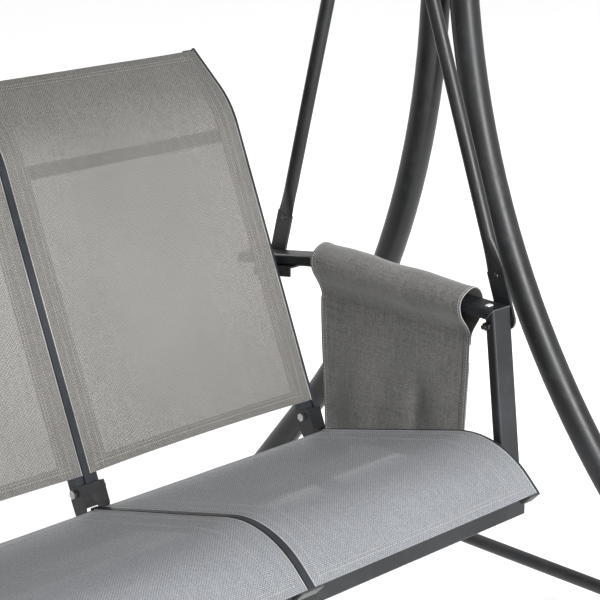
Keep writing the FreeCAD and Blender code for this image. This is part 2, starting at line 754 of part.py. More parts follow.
# A small plate pressed on the armrest keeps the pocket's sleeve off the post.
sleeve_stops = []
for name, side in SIDES:
    stop_y = dim("pocket_front") - 38
    stop_z = dim("arm_front_top") + (stop_y - dim("arm_front")) * math.tan(math.radians(arm_rise))
    spot = Vec(side * (dim("arm_centre") - 5), stop_y, stop_z)
    stop = new_body("sleeve_stop_" + name, FreeCAD.Placement(spot, Rot(X_AXIS, arm_rise)))
    sleeve_stops.append(stop)
    slab(stop, rounded(-6, 6, -4, 4, 1), "0", "1.2", role="XY_Plane")
group("sleeve_stops", sleeve_stops)


def pocket(label, side):
    """Fabric pouch sewn under a sleeve that goes round the armrest; its mouth faces outwards."""
    body = new_body(label, FreeCAD.Placement(Vec(side * dim("arm_centre"), dim("pocket_front"), 0), Rot()))
    wall, half = dim("fabric_wall"), dim("pocket_thick") / 2
    low, mouth, seam = dim("pocket_bottom"), dim("pocket_mouth"), dim("pocket_seam")
    radius = dim("sleeve_radius")
    centre = Vec(0, dim("sleeve_height"), 0)
    apex = Vec(-side * (half - wall / 2), seam, 0)
    to_centre = centre - apex
    inner_apex = apex + to_centre * (wall / radius)
    length = "dims.pocket_length"
    whole = "-dims.pocket_length"
    slab(body, teardrop(apex, centre, radius), whole, length, role="XZ_Plane")
    slab(body, teardrop(inner_apex, centre, radius - wall), whole, length, cut=True, role="XZ_Plane")
    inner_wall = sorted((-side * half, -side * (half - wall)))
    outer_wall = sorted((side * half, side * (half - wall)))
    slab(body, rectangle(*inner_wall, low, seam + wall), whole, length, role="XZ_Plane")
    slab(body, rectangle(*outer_wall, low, mouth), whole, length, role="XZ_Plane")
    slab(body, rectangle(-half, half, low, low + wall), whole, length, role="XZ_Plane")
    end_wall = rectangle(-half, half, low, mouth)
    slab(body, end_wall, whole, "dims.fabric_wall", role="XZ_Plane")
    slab(body, end_wall, "-dims.fabric_wall", "dims.fabric_wall", role="XZ_Plane")


for name, side in SIDES:
    pocket("arm_pocket_" + name, side)

# ---------------------------------------------------------------- the stand

splay, bow = dim("leg_splay"), dim("leg_bow")
pivot_drop = (dim("pivot_height") - dim("leg_bow_start")) / cos(splay)


def leg_frame(side):
    """Frame of one end's leg plane, at the height where the bow starts, midway between the legs."""
    base = Vec(side * (dim("leg_plane") + pivot_drop * sin(splay)), 0, dim("leg_bow_start"))
    return FreeCAD.Placement(base, Rot(Y_AXIS, -side * splay))


flange_centre = (dim("beam_height") - dim("leg_bow_start")) / cos(splay)
FLANGE_BOLTS = [(y * dim("leg_spacing"), flange_centre + z) for y in (-1, 1) for z in (-20, 20)]


def leg(label, side, fore):
    """Upright tube that bows outwards and then runs straight to the floor; fore is -1 in front."""
    body = new_body(label, leg_frame(side))
    y = fore * dim("leg_spacing")
    sweep = dim("leg_sweep")
    spots = [Vec(y + fore * bow * (1 - cos(a)), -bow * sin(a), 0) for a in (0, sweep / 2, sweep)]
    floor_end = spots[2] + Vec(fore * sin(sweep), -cos(sweep), 0) * dim("leg_tail")
    path = [
        Part.LineSegment(Vec(y, dim("leg_straight"), 0), spots[0]),
        Part.Arc(*spots),
        Part.LineSegment(spots[2], floor_end),
    ]
    ring = circle(0, y, dim("leg_radius")) + circle(0, y, dim("leg_radius") - dim("leg_wall"))
    pipe(body, ring, "dims.leg_straight", path)
    own_holes = [spot for spot in FLANGE_BOLTS if spot[0] * fore > 0]
    drill(body, own_holes, dim("stud_radius") + dim("bolt_clearance"))


bow_end_y = dim("leg_spacing") + bow * (1 - cos(dim("leg_sweep")))
bow_end_z = -bow * sin(dim("leg_sweep"))
leg_end_y = bow_end_y + dim("leg_tail") * sin(dim("leg_sweep"))
leg_end_z = bow_end_z - dim("leg_tail") * cos(dim("leg_sweep"))


def foot(label, side, fore):
    """Plastic boot over a leg's end, with a round base on the floor."""
    heading = Vec(0, fore * sin(dim("leg_sweep")), -cos(dim("leg_sweep")))
    local_end = along(heading, Vec(0, fore * leg_end_y, leg_end_z))
    end = leg_frame(side).multiply(local_end)
    boot_start = end.multiply(FreeCAD.Placement(Vec(0, 0, -55), Rot()))
    bore_start = end.multiply(FreeCAD.Placement(Vec(0, 0, -70), Rot()))
    boot = solid("Part::Cylinder", label + "_boot", boot_start, Radius="dims.leg_radius + 4.5", Height="59")
    centre = Vec(end.Base.x, end.Base.y - fore * 12, 0)
    base = solid("Part::Cylinder", label + "_base", FreeCAD.Placement(centre, Rot()),
                 Radius="dims.leg_radius + 9", Height="14")
    bore = solid("Part::Cylinder", label + "_bore", bore_start, Radius="dims.leg_radius + 1", Height="70")
    below = solid("Part::Box", label + "_below", FreeCAD.Placement(centre - Vec(100, 100, 100), Rot()),
                  Length="200", Width="200", Height="100")
    shell = combine("Part::Cut", label + "_shell", combine("Part::Fuse", label + "_outer", boot, base), bore)
    return keep(combine("Part::Cut", label, shell, below), label)


def brace(label, side):
    """Low tube between the front and rear legs, coped to their straight lower ends."""
    frame = leg_frame(side)
    drop = (dim("brace_height") - dim("leg_bow_start")) / cos(splay)
    reach = bow_end_y + (bow_end_z - drop) * math.tan(math.radians(dim("leg_sweep")))
    middle = frame.multiply(along(Vec(0, 1, 0), Vec(0, -reach, drop)))
    length = "%f" % (2 * reach)
    tube = solid("Part::Cylinder", label + "_tube", middle, Radius="dims.brace_radius", Height=length)
    hollow = solid("Part::Cylinder", label + "_hollow", middle, Radius="dims.brace_radius - 1.5", Height=length)
    shape = combine("Part::Cut", label + "_ring", tube, hollow)
    for fore in (-1, 1):
        heading = Vec(0, fore * sin(dim("leg_sweep")), -cos(dim("leg_sweep")))
        start = frame.multiply(along(heading, Vec(0, fore * bow_end_y, bow_end_z)))
        cope = solid("Part::Cylinder", label + "_cope", start,
                     Radius="dims.leg_radius + 0.2", Height="dims.leg_tail")
        shape = combine("Part::Cut", label + "_coped", shape, cope)
    return keep(shape, label)


for name, side in SIDES:
    for end, fore in (("front", -1), ("rear", 1)):
        leg("%s_leg_%s" % (end, name), side, fore)
        foot("%s_foot_%s" % (end, name), side, fore)
    brace("side_brace_" + name, side)

flange_inner = dim("leg_radius") + dim("flange_thickness")
beam_reach = dim("leg_plane") - (dim("beam_height") - dim("pivot_height")) * math.tan(math.radians(splay))
beam_end = beam_reach - flange_inner / cos(splay) - dim("beam_radius") * math.tan(math.radians(splay))
beam = new_body("beam_tube", FreeCAD.Placement(Vec(0, 0, dim("beam_height")), Rot()))
slab(beam, circle(0, 0, dim("beam_radius")), *centred("%f" % (2 * beam_end)))
slab(beam, circle(0, 0, dim("beam_radius") - 2), *centred("%f" % (2 * beam_end)), cut=True)

beam_pieces = [beam]
stand_bolts = []
for name, side in SIDES:
    flange = new_body("beam_flange_" + name, leg_frame(side))
    beam_pieces.append(flange)
    plate = rounded(-60, 60, flange_centre - 34, flange_centre + 34, 10)
    start = "-dims.leg_radius - dims.flange_thickness" if side > 0 else "dims.leg_radius"
    slab(flange, plate, start, "dims.flange_thickness")
    doc.recompute()
    drill(flange, FLANGE_BOLTS, dim("stud_radius") + dim("bolt_clearance"))
    for index, (y, z) in enumerate(FLANGE_BOLTS):
        seat = along(X_AXIS * side, Vec(-side * flange_inner, y, z))
        grip = "2 * dims.leg_radius + dims.flange_thickness"
        tag = "flange_bolt_%s_%d" % (name, index)
        stand_bolts.append(bolt(tag, leg_frame(side).multiply(seat), grip, "dims.stud_radius"))
group("flange_bolts", stand_bolts)
group("top_beam", beam_pieces)

# Each pivot bracket is an inverted U under the beam; its bolt carries both hangers on one bush.
beam_bottom = dim("beam_height") - dim("beam_radius")
ear_gap = 10
pivot_z = dim("pivot_height")
pivot_brackets, pivot_bushes, pivot_bolts = [], [], []
for name, side in SIDES:
    at = FreeCAD.Placement(Vec(side * dim("hanger_plane"), 0, 0), Rot())
    bracket = new_body("pivot_bracket_" + name, at)
    pivot_brackets.append(bracket)
    slab(bracket, rectangle(-22, 22, beam_bottom - 5, beam_bottom), *centred("28"))
    ear = [
        Part.LineSegment(Vec(22, pivot_z, 0), Vec(22, beam_bottom - 3, 0)),
        Part.LineSegment(Vec(22, beam_bottom - 3, 0), Vec(-22, beam_bottom - 3, 0)),
        Part.LineSegment(Vec(-22, beam_bottom - 3, 0), Vec(-22, pivot_z, 0)),
        Part.Arc(Vec(-22, pivot_z, 0), Vec(0, pivot_z - 22, 0), Vec(22, pivot_z, 0)),
    ]
    for start in (-ear_gap - 4, ear_gap):
        slab(bracket, ear, "%d" % start, "4")
    doc.recompute()
    drill(bracket, [(0, pivot_z)], dim("pivot_radius") + dim("running_gap"))
    head = along(X_AXIS * side, Vec(side * (dim("hanger_plane") - ear_gap - 4), 0, pivot_z))
    pivot_bolts.append(bolt("pivot_bolt_" + name, head, "%d" % (2 * ear_gap + 8), "dims.pivot_radius"))
    bush = new_body("pivot_bush_" + name, FreeCAD.Placement(at.Base + Vec(0, 0, pivot_z), Rot()))
    pivot_bushes.append(bush)
    slab(bush, circle(0, 0, dim("bush_radius")), *centred("19"))
    slab(bush, circle(0, 0, dim("bush_radius") + 6), *centred("3"))
    doc.recompute()
    drill(bush, [(0, 0)], dim("pivot_radius") + dim("running_gap"))
group("pivot_brackets", pivot_brackets)
group("pivot_bushes", pivot_bushes)
group("pivot_bolts", pivot_bolts)

# ---------------------------------------------------------------- the canopy

bar_radius = dim("canopy_bar_radius")
tilt_z = dim("canopy_pivot_height")
inset = dim("canopy_half_depth") - bar_radius
crown = dim("canopy_pivot_height") + dim("canopy_rise")
arch = dim("canopy_arch")
hub_z = crown - arch
half_sweep = math.degrees(math.asin(dim("canopy_half_depth") / arch))
eave_z = hub_z + arch * cos(half_sweep)

canopy_tabs, canopy_brackets = [], []
for name, side in SIDES:
    plane_x = side * dim("canopy_bar_plane")
    # The bar's frame stands at its front end, with local Z along the bar.
    front_end = Vec(plane_x, -dim("canopy_half_depth"), eave_z)
    bar = new_body("canopy_side_bar_" + name, FreeCAD.Placement(front_end, Rot(X_AXIS, half_sweep - 90)))
    spots = [Vec(arch * (1 - cos(a)), arch * sin(a), 0) for a in (0, half_sweep, 2 * half_sweep)]
    pipe(bar, circle(0, 0, bar_radius) + circle(0, 0, bar_radius - 1.5), "0", [Part.Arc(*spots)])

    tab = new_body("canopy_tab_" + name, FreeCAD.Placement(Vec(plane_x, 0, 0), Rot()))
    canopy_tabs.append(tab)
    slab(tab, rounded(-15, 15, tilt_z - 15, crown - bar_radius, 5), *centred("4"))
    doc.recompute()
    drill(tab, [(0, tilt_z)], dim("stud_radius") + dim("running_gap"))

    # The bracket straddles the beam inboard of the tab; a nut is welded on its inner face.
    bracket = new_body("canopy_bracket_" + name, FreeCAD.Placement(Vec(plane_x - side * 5, 0, 0), Rot()))
    canopy_brackets.append(bracket)
    foot_z = dim("beam_height") + math.sqrt(dim("beam_radius") ** 2 - 22 ** 2)
    outline = [
        Part.Arc(Vec(-22, foot_z, 0), Vec(0, dim("beam_height") + dim("beam_radius"), 0), Vec(22, foot_z, 0)),
        Part.LineSegment(Vec(22, foot_z, 0), Vec(18, tilt_z, 0)),
        Part.Arc(Vec(18, tilt_z, 0), Vec(0, tilt_z + 18, 0), Vec(-18, tilt_z, 0)),
        Part.LineSegment(Vec(-18, tilt_z, 0), Vec(-22, foot_z, 0)),
    ]
    slab(bracket, outline, *centred("4"))
    slab(bracket, circle(0, tilt_z, 8), "-9" if side > 0 else "2", "7")
    doc.recompute()
    drill(bracket, [(0, tilt_z)], dim("stud_radius") + dim("running_gap"))

    # Star knob with its stud, turned from outside to clamp the tilt.
    knob = new_body("canopy_knob_" + name, along(X_AXIS * side, Vec(plane_x + side * 2.5, 0, tilt_z)))
    slab(knob, circle(0, 0, 15), "0", "20", role="XY_Plane")
    for lobe in range(5):
        spot = Vec(cos(72 * lobe), sin(72 * lobe), 0) * 13
        slab(knob, circle(spot.x, spot.y, 6), "3", "15", role="XY_Plane")
    slab(knob, circle(0, 0, dim("stud_radius")), "-18", "19", role="XY_Plane")

group("canopy_tabs", canopy_tabs)
group("canopy_brackets", canopy_brackets)

cross_length = "2 * (dims.canopy_bar_plane - dims.canopy_bar_radius) - 1"
for name, y, z in (("front", -1, eave_z), ("centre", 0, crown), ("rear", 1, eave_z)):
    cross = new_body("canopy_%s_bar" % name, FreeCAD.Placement(Vec(0, y * inset, z), Rot()))
    slab(cross, circle(0, 0, bar_radius), *centred(cross_length))
    slab(cross, circle(0, 0, bar_radius - 1.5), *centred(cross_length), cut=True)


def canopy_cover():
    """One curved sheet over the bars, with valances front and rear and hems along the sides."""
    body = new_body("canopy_cover", FreeCAD.Placement(Vec(0, 0, hub_z), Rot()))
    inner = arch + bar_radius + dim("sling_gap")
    outer = inner + dim("fabric_wall")
    edge = dim("canopy_half_depth") + bar_radius
    drop = dim("valance_drop")

    def at(radius, y):
        return Vec(y, math.sqrt(radius ** 2 - y ** 2), 0)

    skin = edge + dim("fabric_wall")
    low = at(inner, edge).y - drop
    corners = [Vec(-skin, low, 0), at(outer, -skin), at(outer, skin), Vec(skin, low, 0),
               Vec(edge, low, 0), at(inner, edge), at(inner, -edge), Vec(-edge, low, 0)]
    arcs = {1: Vec(0, outer, 0), 5: Vec(0, inner, 0)}
    outline = []
    for index, point in enumerate(corners):
        following = corners[(index + 1) % len(corners)]
        if index in arcs:
            outline.append(Part.Arc(point, arcs[index], following))
        else:
            outline.append(Part.LineSegment(point, following))
    half = "(dims.canopy_bar_plane + dims.canopy_bar_radius + 1 + dims.fabric_wall)"
    slab(body, outline, "-" + half, "2 * " + half)
    hem_foot = arch - bar_radius - 2
    hem = [
        Part.Arc(at(outer, -skin), Vec(0, outer, 0), at(outer, skin)),
        Part.LineSegment(at(outer, skin), at(hem_foot, skin)),
        Part.Arc(at(hem_foot, skin), Vec(0, hem_foot, 0), at(hem_foot, -skin)),
        Part.LineSegment(at(hem_foot, -skin), at(outer, -skin)),
    ]
    slab(body, hem, "-" + half, "dims.fabric_wall")
    slab(body, hem, half + " - dims.fabric_wall", "dims.fabric_wall")


canopy_cover()

# ---------------------------------------------------------------- checks and export

doc.recompute()
for item in doc.Objects:
    if "Invalid" in item.State or "Error" in item.State:
        raise RuntimeError("%s failed: %s" % (item.Label, item.State))
for item in parts:
    if item.Shape.isNull() or not item.Shape.isValid() or not item.Shape.Solids:
        raise RuntimeError("%s has no valid shape" % item.Label)

os.makedirs("parts", exist_ok=True)
for item in parts:
    item.Shape.exportStep("parts/%s.step" % item.Label)
    box = item.Shape.BoundBox
    print("%-26s solids %2d  %9.0f mm3  x %7.1f %7.1f  y %7.1f %7.1f  z %7.1f %7.1f" % (
        item.Label, len(item.Shape.Solids), item.Shape.Volume,
        box.XMin, box.XMax, box.YMin, box.YMax, box.ZMin, box.ZMax))
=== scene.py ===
import json
import math

import bmesh
import bpy
import numpy as np
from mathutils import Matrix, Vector


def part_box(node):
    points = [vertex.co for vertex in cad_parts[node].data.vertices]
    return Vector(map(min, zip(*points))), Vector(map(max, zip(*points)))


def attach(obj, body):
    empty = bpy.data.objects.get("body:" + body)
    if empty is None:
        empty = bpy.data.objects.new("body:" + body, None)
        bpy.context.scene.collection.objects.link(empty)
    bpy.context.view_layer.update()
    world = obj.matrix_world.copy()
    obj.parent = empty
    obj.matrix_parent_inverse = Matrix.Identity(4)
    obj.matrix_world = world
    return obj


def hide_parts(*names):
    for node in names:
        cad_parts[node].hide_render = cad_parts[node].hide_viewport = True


# Looks of a three-seat porch swing. Metres, +X right, +Y to the rear, +Z up, as in the frame.

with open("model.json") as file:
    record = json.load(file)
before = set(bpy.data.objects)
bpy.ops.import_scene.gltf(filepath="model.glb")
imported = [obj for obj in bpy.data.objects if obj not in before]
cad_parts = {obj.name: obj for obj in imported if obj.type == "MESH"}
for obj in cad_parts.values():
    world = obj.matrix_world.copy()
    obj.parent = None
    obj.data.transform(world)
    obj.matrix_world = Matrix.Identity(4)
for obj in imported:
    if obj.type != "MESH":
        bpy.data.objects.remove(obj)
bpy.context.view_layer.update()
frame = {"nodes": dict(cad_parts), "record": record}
rng = np.random.default_rng(7)

SIDES = (("left", -1), ("right", 1))
PANELS = ("left", "centre", "right")
RAILS = ("left_side", "left_inner", "right_inner", "right_side")


# ---------------------------------------------------------------- materials

class Paint:
    """One procedural material: a Principled shader and short ways to wire nodes to it."""

    def __init__(self, name, roughness=0.5, metallic=0.0, sheen=0.0, specular=0.5):
        self.material = bpy.data.materials.new(name)
        self.material.use_nodes = True
        self.tree = self.material.node_tree
        self.shader = self.tree.nodes["Principled BSDF"]
        self.shader.inputs["Roughness"].default_value = roughness
        self.shader.inputs["Metallic"].default_value = metallic
        if sheen:
            self.shader.inputs["Sheen Weight"].default_value = sheen
            self.shader.inputs["Sheen Roughness"].default_value = 0.5
        self.shader.inputs["Specular IOR Level"].default_value = specular

    def put(self, socket, value):
        if isinstance(value, bpy.types.NodeSocket):
            self.tree.links.new(value, socket)
        else:
            socket.default_value = value

    def node(self, kind, *values, **settings):
        made = self.tree.nodes.new(kind)
        for key, value in settings.items():
            setattr(made, key, value)
        for socket, value in zip(made.inputs, values):
            if value is not None:
                self.put(socket, value)
        return made

    def math(self, operation, *values):
        return self.node("ShaderNodeMath", *values, operation=operation).outputs[0]

    def times(self, first, second):
        return self.math("MULTIPLY", first, second)

    def plus(self, first, second):
        return self.math("ADD", first, second)

    def spread(self, value, low, high, new_low, new_high):
        """A value from one range to another, held at the ends."""
        return self.node("ShaderNodeMapRange", value, low, high, new_low, new_high).outputs[0]

    def mix(self, factor, first, second):
        """From the first colour at 0 to the second at 1."""
        made = self.tree.nodes.new("ShaderNodeMix")
        made.data_type = "RGBA"
        self.put(made.inputs[0], factor)
        self.put(made.inputs[6], first)
        self.put(made.inputs[7], second)
        return made.outputs[2]

    def place(self):
        return self.node("ShaderNodeTexCoord").outputs["Object"]

    def along(self, name):
        return self.node("ShaderNodeAttribute", attribute_name=name).outputs["Fac"]

    def vector(self, x, y, z=0.0):
        return self.node("ShaderNodeCombineXYZ", x, y, z).outputs[0]

    def noise(self, vector, scale, detail=2.0, roughness=0.5):
        made = self.node("ShaderNodeTexNoise")
        self.put(made.inputs["Vector"], vector)
        made.inputs["Scale"].default_value = scale
        made.inputs["Detail"].default_value = detail
        made.inputs["Roughness"].default_value = roughness
        return made.outputs[0]

    def bump(self, height, strength, distance):
        made = self.node("ShaderNodeBump")
        made.inputs["Strength"].default_value = strength
        made.inputs["Distance"].default_value = distance
        self.put(made.inputs["Height"], height)
        self.put(self.shader.inputs["Normal"], made.outputs[0])

    def finish(self, colour, roughness=None):
        self.put(self.shader.inputs["Base Color"], colour)
        if roughness is not None:
            self.put(self.shader.inputs["Roughness"], roughness)
        return self.material


def grey(value, warm=0.0):
    """A grey, pushed to warm above zero and to blue below it."""
    return (value * (1 + warm), value * (1 + 0.25 * warm), value * (1 - warm), 1.0)


def powder_coat(name, dark, light, roughness, specular=0.3):
    """Powder-coated steel: fine orange peel, cloudy tone and a little dust."""
    paint = Paint(name, specular=specular)
    place = paint.place()
    clouds = paint.noise(place, 9.0, 4.0)
    grain = paint.noise(place, 900.0, 2.0)
    scuffs = paint.spread(paint.noise(place, 60.0, 6.0, 0.7), 0.52, 0.75, 0.0, 1.0)
    tone = paint.mix(paint.spread(clouds, 0.35, 0.65, 0.0, 1.0), dark, light)
    dusty = paint.mix(paint.times(scuffs, 0.08), tone, grey(0.12, 0.03))
    speckle = paint.mix(paint.spread(grain, 0.62, 0.8, 0.0, 0.25), dusty, grey(0.09))
    paint.bump(paint.plus(grain, paint.times(clouds, 0.4)), 0.10, 0.0006)
    rough = paint.plus(paint.spread(scuffs, 0.0, 1.0, roughness, roughness + 0.16),
                       paint.spread(clouds, 0.3, 0.7, -0.04, 0.04))
    return paint.finish(speckle, rough)


def zinc_plate(name, dark, light, metallic=1.0):
    """Zinc-plated steel: fine crystals and stains."""
    paint = Paint(name, metallic=metallic)
    place = paint.place()
    crystals = paint.noise(place, 420.0, 3.0)
    stains = paint.noise(place, 70.0, 3.0)
    tone = paint.mix(crystals, dark, light)
    tone = paint.mix(paint.spread(stains, 0.5, 0.75, 0.0, 0.45), tone, dark)
    paint.bump(crystals, 0.25, 0.0003)
    return paint.finish(tone, paint.spread(stains, 0.3, 0.7, 0.22, 0.42))


def moulded_plastic(name):
    """Black moulded plastic with a sparked texture."""
    paint = Paint(name, roughness=0.5)
    place = paint.place()
    spark = paint.noise(place, 1400.0, 2.0)
    clouds = paint.noise(place, 25.0, 3.0)
    tone = paint.mix(clouds, grey(0.013), grey(0.026, 0.02))
    paint.bump(spark, 0.35, 0.0004)
    return paint.finish(tone, paint.spread(clouds, 0.3, 0.7, 0.42, 0.58))


def weave(paint, pitch):
    """The yarns' rounded heights both ways, and the number of each yarn."""
    across, along = paint.along("across"), paint.along("along")
    warp = paint.math("ABSOLUTE", paint.math("SINE", paint.times(across, math.pi / pitch)))
    weft = paint.math("ABSOLUTE", paint.math("SINE", paint.times(along, math.pi / pitch)))
    column = paint.math("FLOOR", paint.times(across, 1 / pitch))
    row = paint.math("FLOOR", paint.times(along, 1 / pitch))
    return across, along, warp, weft, column, row


def yarn_speck(paint, column, row):
    """A random value for each crossing of two yarns."""
    return paint.node("ShaderNodeTexWhiteNoise", paint.vector(column, row), noise_dimensions="2D").outputs[0]


def sling_mesh(name, yarn_dark, yarn_light, shadow, openness, pitch=0.0025):
    """Coated open-weave mesh. Warp runs along the rails; light passes the gaps between yarns."""
    paint = Paint(name, roughness=0.7, sheen=0.1, specular=0.2)
    across, along, warp, weft, column, row = weave(paint, pitch)
    even = 4000.0  # any even number will do, as long as the sum stays above zero
    parity = paint.math("MODULO", paint.plus(column, paint.plus(row, even)), 2.0)
    parity = paint.spread(parity, 0.4, 0.6, 0.0, 1.0)
    over = paint.times(warp, paint.spread(parity, 0.0, 1.0, 1.0, 0.6))
    under = paint.times(weft, paint.spread(parity, 0.0, 1.0, 0.6, 1.0))
    height = paint.math("MAXIMUM", over, under)
    # each yarn runs its own shade for a long way, and slubs come and go along it
    yarns = paint.noise(paint.vector(paint.times(column, 0.73), paint.times(along, 9.0)), 1.0, 3.0, 0.6)
    slubs = yarn_speck(paint, column, row)
    fade = paint.math("SUBTRACT", paint.noise(paint.place(), 3.5, 2.0), 0.5)
    tone = paint.plus(paint.times(slubs, 0.22), paint.times(parity, 0.34))
    tone = paint.plus(tone, paint.plus(paint.times(yarns, 0.42), paint.times(fade, 0.22)))
    yarn = paint.mix(tone, yarn_dark, yarn_light)
    colour = paint.mix(paint.spread(height, 0.25, 0.9, 0.0, 1.0), shadow, yarn)
    # the mesh is open where neither yarn stands high
    gaps = [paint.spread(height_there, 0.46, 0.74, 1.0, 0.0) for height_there in (warp, weft)]
    gap = paint.math("MINIMUM", paint.times(paint.times(*gaps), 1.4), 1.0)
    closed = paint.math("SUBTRACT", 1.0, paint.times(gap, openness))
    paint.put(paint.shader.inputs["Alpha"], closed)
    paint.bump(height, 0.8, 0.0006)
    return paint.finish(colour, paint.spread(yarns, 0.3, 0.7, 0.62, 0.78))


def woven_cloth(name, yarn_dark, yarn_light, pitch):
    """Plain-woven polyester with slubby, mixed yarns."""
    paint = Paint(name, roughness=0.8, sheen=0.25)
    across, along, warp, weft, column, row = weave(paint, pitch)
    # every yarn has its own shade, which drifts along it
    warp_place = paint.vector(paint.times(column, 0.61), paint.times(along, 14.0))
    warp_shade = paint.noise(warp_place, 1.0, 3.0, 0.65)
    weft_place = paint.vector(paint.times(across, 14.0), paint.times(row, 0.61), 7.0)
    weft_shade = paint.noise(weft_place, 1.0, 3.0, 0.65)
    slubs = yarn_speck(paint, column, row)
    handling = paint.math("SUBTRACT", paint.noise(paint.place(), 7.0, 3.0), 0.5)
    tone = paint.plus(paint.times(paint.plus(warp_shade, weft_shade), 0.38), paint.times(slubs, 0.28))
    tone = paint.plus(tone, paint.times(handling, 0.25))
    height = paint.math("MAXIMUM", warp, weft)
    colour = paint.mix(paint.spread(tone, 0.22, 0.86, 0.0, 1.0), yarn_dark, yarn_light)
    # painted shade: darker towards near black where the yarns dip between crossings
    colour = paint.mix(paint.spread(height, 0.4, 1.0, 0.45, 0.0), colour, grey(0.02))
    paint.bump(height, 0.45, 0.0004)
    return paint.finish(colour, paint.spread(slubs, 0.0, 1.0, 0.72, 0.88))


def thread(name, dark, light):
    """Sewing thread: two-ply twist."""
    paint = Paint(name, roughness=0.6, sheen=0.3)
    twist = paint.noise(paint.place(), 1500.0, 2.0)
    paint.bump(twist, 0.5, 0.0003)
    return paint.finish(paint.mix(twist, dark, light), paint.spread(twist, 0.3, 0.7, 0.5, 0.7))


def plain_floor(name):
    """A pale floor, barely clouded."""
    paint = Paint(name, roughness=0.9)
    cloud = paint.noise(paint.place(), 0.6, 3.0)
    return paint.finish(paint.mix(cloud, grey(0.90), grey(0.93)), 0.9)


# the blue in the frame and arm coats is a painted sky reflection; the arm coat is a bluer copy of the frame
# coat, set apart for the lighting
FRAME_PAINT = powder_coat("frame_powder_coat", grey(0.004, -0.05), grey(0.008, -0.10), 0.40, 0.34)
ARM_PAINT_SKY_TINT = powder_coat("arm_powder_coat_sky_tint", grey(0.006, -0.12), grey(0.011, -0.16), 0.40, 0.26)
RAIL_PAINT = powder_coat("rail_powder_coat", grey(0.010, -0.18), grey(0.018, -0.20), 0.42, 0.24)
# the groove lips' pale coat is a painted highlight along each groove's edge
GROOVE_LIP_HIGHLIGHT = powder_coat("groove_lip_painted_highlight", grey(0.24), grey(0.40, 0.02), 0.3)
# the mitre weld's coat is lighter than the arm coat: a painted highlight along the seam
MITRE_HIGHLIGHT = powder_coat("mitre_weld_painted_highlight", grey(0.03), grey(0.08), 0.3)
ZINC = zinc_plate("zinc_plate", grey(0.22, 0.02), grey(0.50))
DARK_ZINC = zinc_plate("blackened_zinc_plate", grey(0.035), grey(0.11))
# near-white and barely metallic: the sun's glint on the zinc sleeve stop, painted into its colour
SLEEVE_STOP_GLINT = zinc_plate("bright_zinc_plate", grey(0.62), grey(0.92), 0.15)
PLASTIC = moulded_plastic("black_plastic")
# one fabric in two tints: the seat's blue-grey is a painted sky reflection, the back's warm grey painted warm
# light
SEAT_MESH = sling_mesh("seat_mesh_cloth", grey(0.09, -0.06), grey(0.32, -0.06), grey(0.04, -0.05), 0.6)
BACK_MESH = sling_mesh("back_mesh_cloth", grey(0.045, 0.06), grey(0.25, 0.05), grey(0.02, 0.03), 0.95)
# the hems are darker copies of the mesh fabric: painted shade of the doubled, closed cloth
SEAT_HEM = sling_mesh("seat_hem_cloth", grey(0.08, -0.06), grey(0.24, -0.05), grey(0.03, -0.05), 0.0)
BACK_HEM = sling_mesh("back_hem_cloth", grey(0.03, 0.04), grey(0.12, 0.04), grey(0.03, 0.03), 0.0)
POCKET_CLOTH = woven_cloth("pocket_cloth", grey(0.020, 0.03), grey(0.15, 0.04), 0.0021)
CANOPY_CLOTH = woven_cloth("canopy_cloth", grey(0.085, -0.02), grey(0.21, 0.01), 0.0012)
MESH_THREAD = thread("mesh_thread", grey(0.14, 0.02), grey(0.30, 0.03))
PALE_THREAD = thread("pale_thread", grey(0.20, 0.03), grey(0.40, 0.03))
DARK_THREAD = thread("dark_thread", grey(0.05), grey(0.12))

SLOT_PAINT = {
    "frame_paint": FRAME_PAINT,
    "rail_paint": RAIL_PAINT,
    "zinc": ZINC,
    "black_plastic": PLASTIC,
}


def paint_cad_nodes():
    """Gives each carried-over CAD node the procedural material of its slot in the record."""
    slots = {row["node"]: row["material_slot"] for row in frame["record"]["subparts"]}
    for name, node in frame["nodes"].items():
        material = SLOT_PAINT.get(slots[name], FRAME_PAINT)
        # armrests, posts and front seat bar take the bluer copy of the coat, with its painted sky reflection
        if name.startswith(("armrest", "arm_post", "front_seat_bar")):
            material = ARM_PAINT_SKY_TINT
        if name == "hanger_bolts":
            material = DARK_ZINC
        # the sleeve stops take the painted glint: near-white, barely metallic zinc
        if name.startswith("sleeve_stop"):
            material = SLEEVE_STOP_GLINT
        node.data.materials.clear()
        node.data.materials.append(material)


paint_cad_nodes()


# ---------------------------------------------------------------- mesh tools

def new_piece(name, points, faces, material, body, smooth=True):
    """A mesh piece that rides on a body and takes the material it is given."""
    mesh = bpy.data.meshes.new(name)
    mesh.from_pydata([tuple(p) for p in points], [], faces)
    mesh.materials.append(material)
    mesh.polygons.foreach_set("use_smooth", [smooth] * len(mesh.polygons))
    mesh.update()
    piece = bpy.data.objects.new(name, mesh)
    bpy.context.scene.collection.objects.link(piece)
    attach(piece, body)
    return piece


def run_lengths(line):
    """Distance along a line to each of its points."""
    return np.concatenate([[0], np.cumsum(np.linalg.norm(np.diff(line, axis=0), axis=1))])


def read_at(at, lengths, values):
    """What a line's points hold, read at other distances along it."""
    return np.stack([np.interp(at, lengths, values[:, k]) for k in range(values.shape[1])], axis=-1)


def grid_faces(rows, columns, start=0, flip=False):
    """Quads over a grid of points whose first one has the number start."""
    faces = []
    for r in range(rows - 1):
        for c in range(columns - 1):
            a = start + r * columns + c
            quad = (a, a + 1, a + columns + 1, a + columns)
            faces.append(quad[::-1] if flip else quad)
    return faces


def grid_normals(grid):
    """Unit normals of a grid of points, by central differences."""
    by_row = np.gradient(grid, axis=0)
    by_column = np.gradient(grid, axis=1)
    normals = np.cross(by_column, by_row)
    return normals / np.maximum(np.linalg.norm(normals, axis=2, keepdims=True), 1e-12)


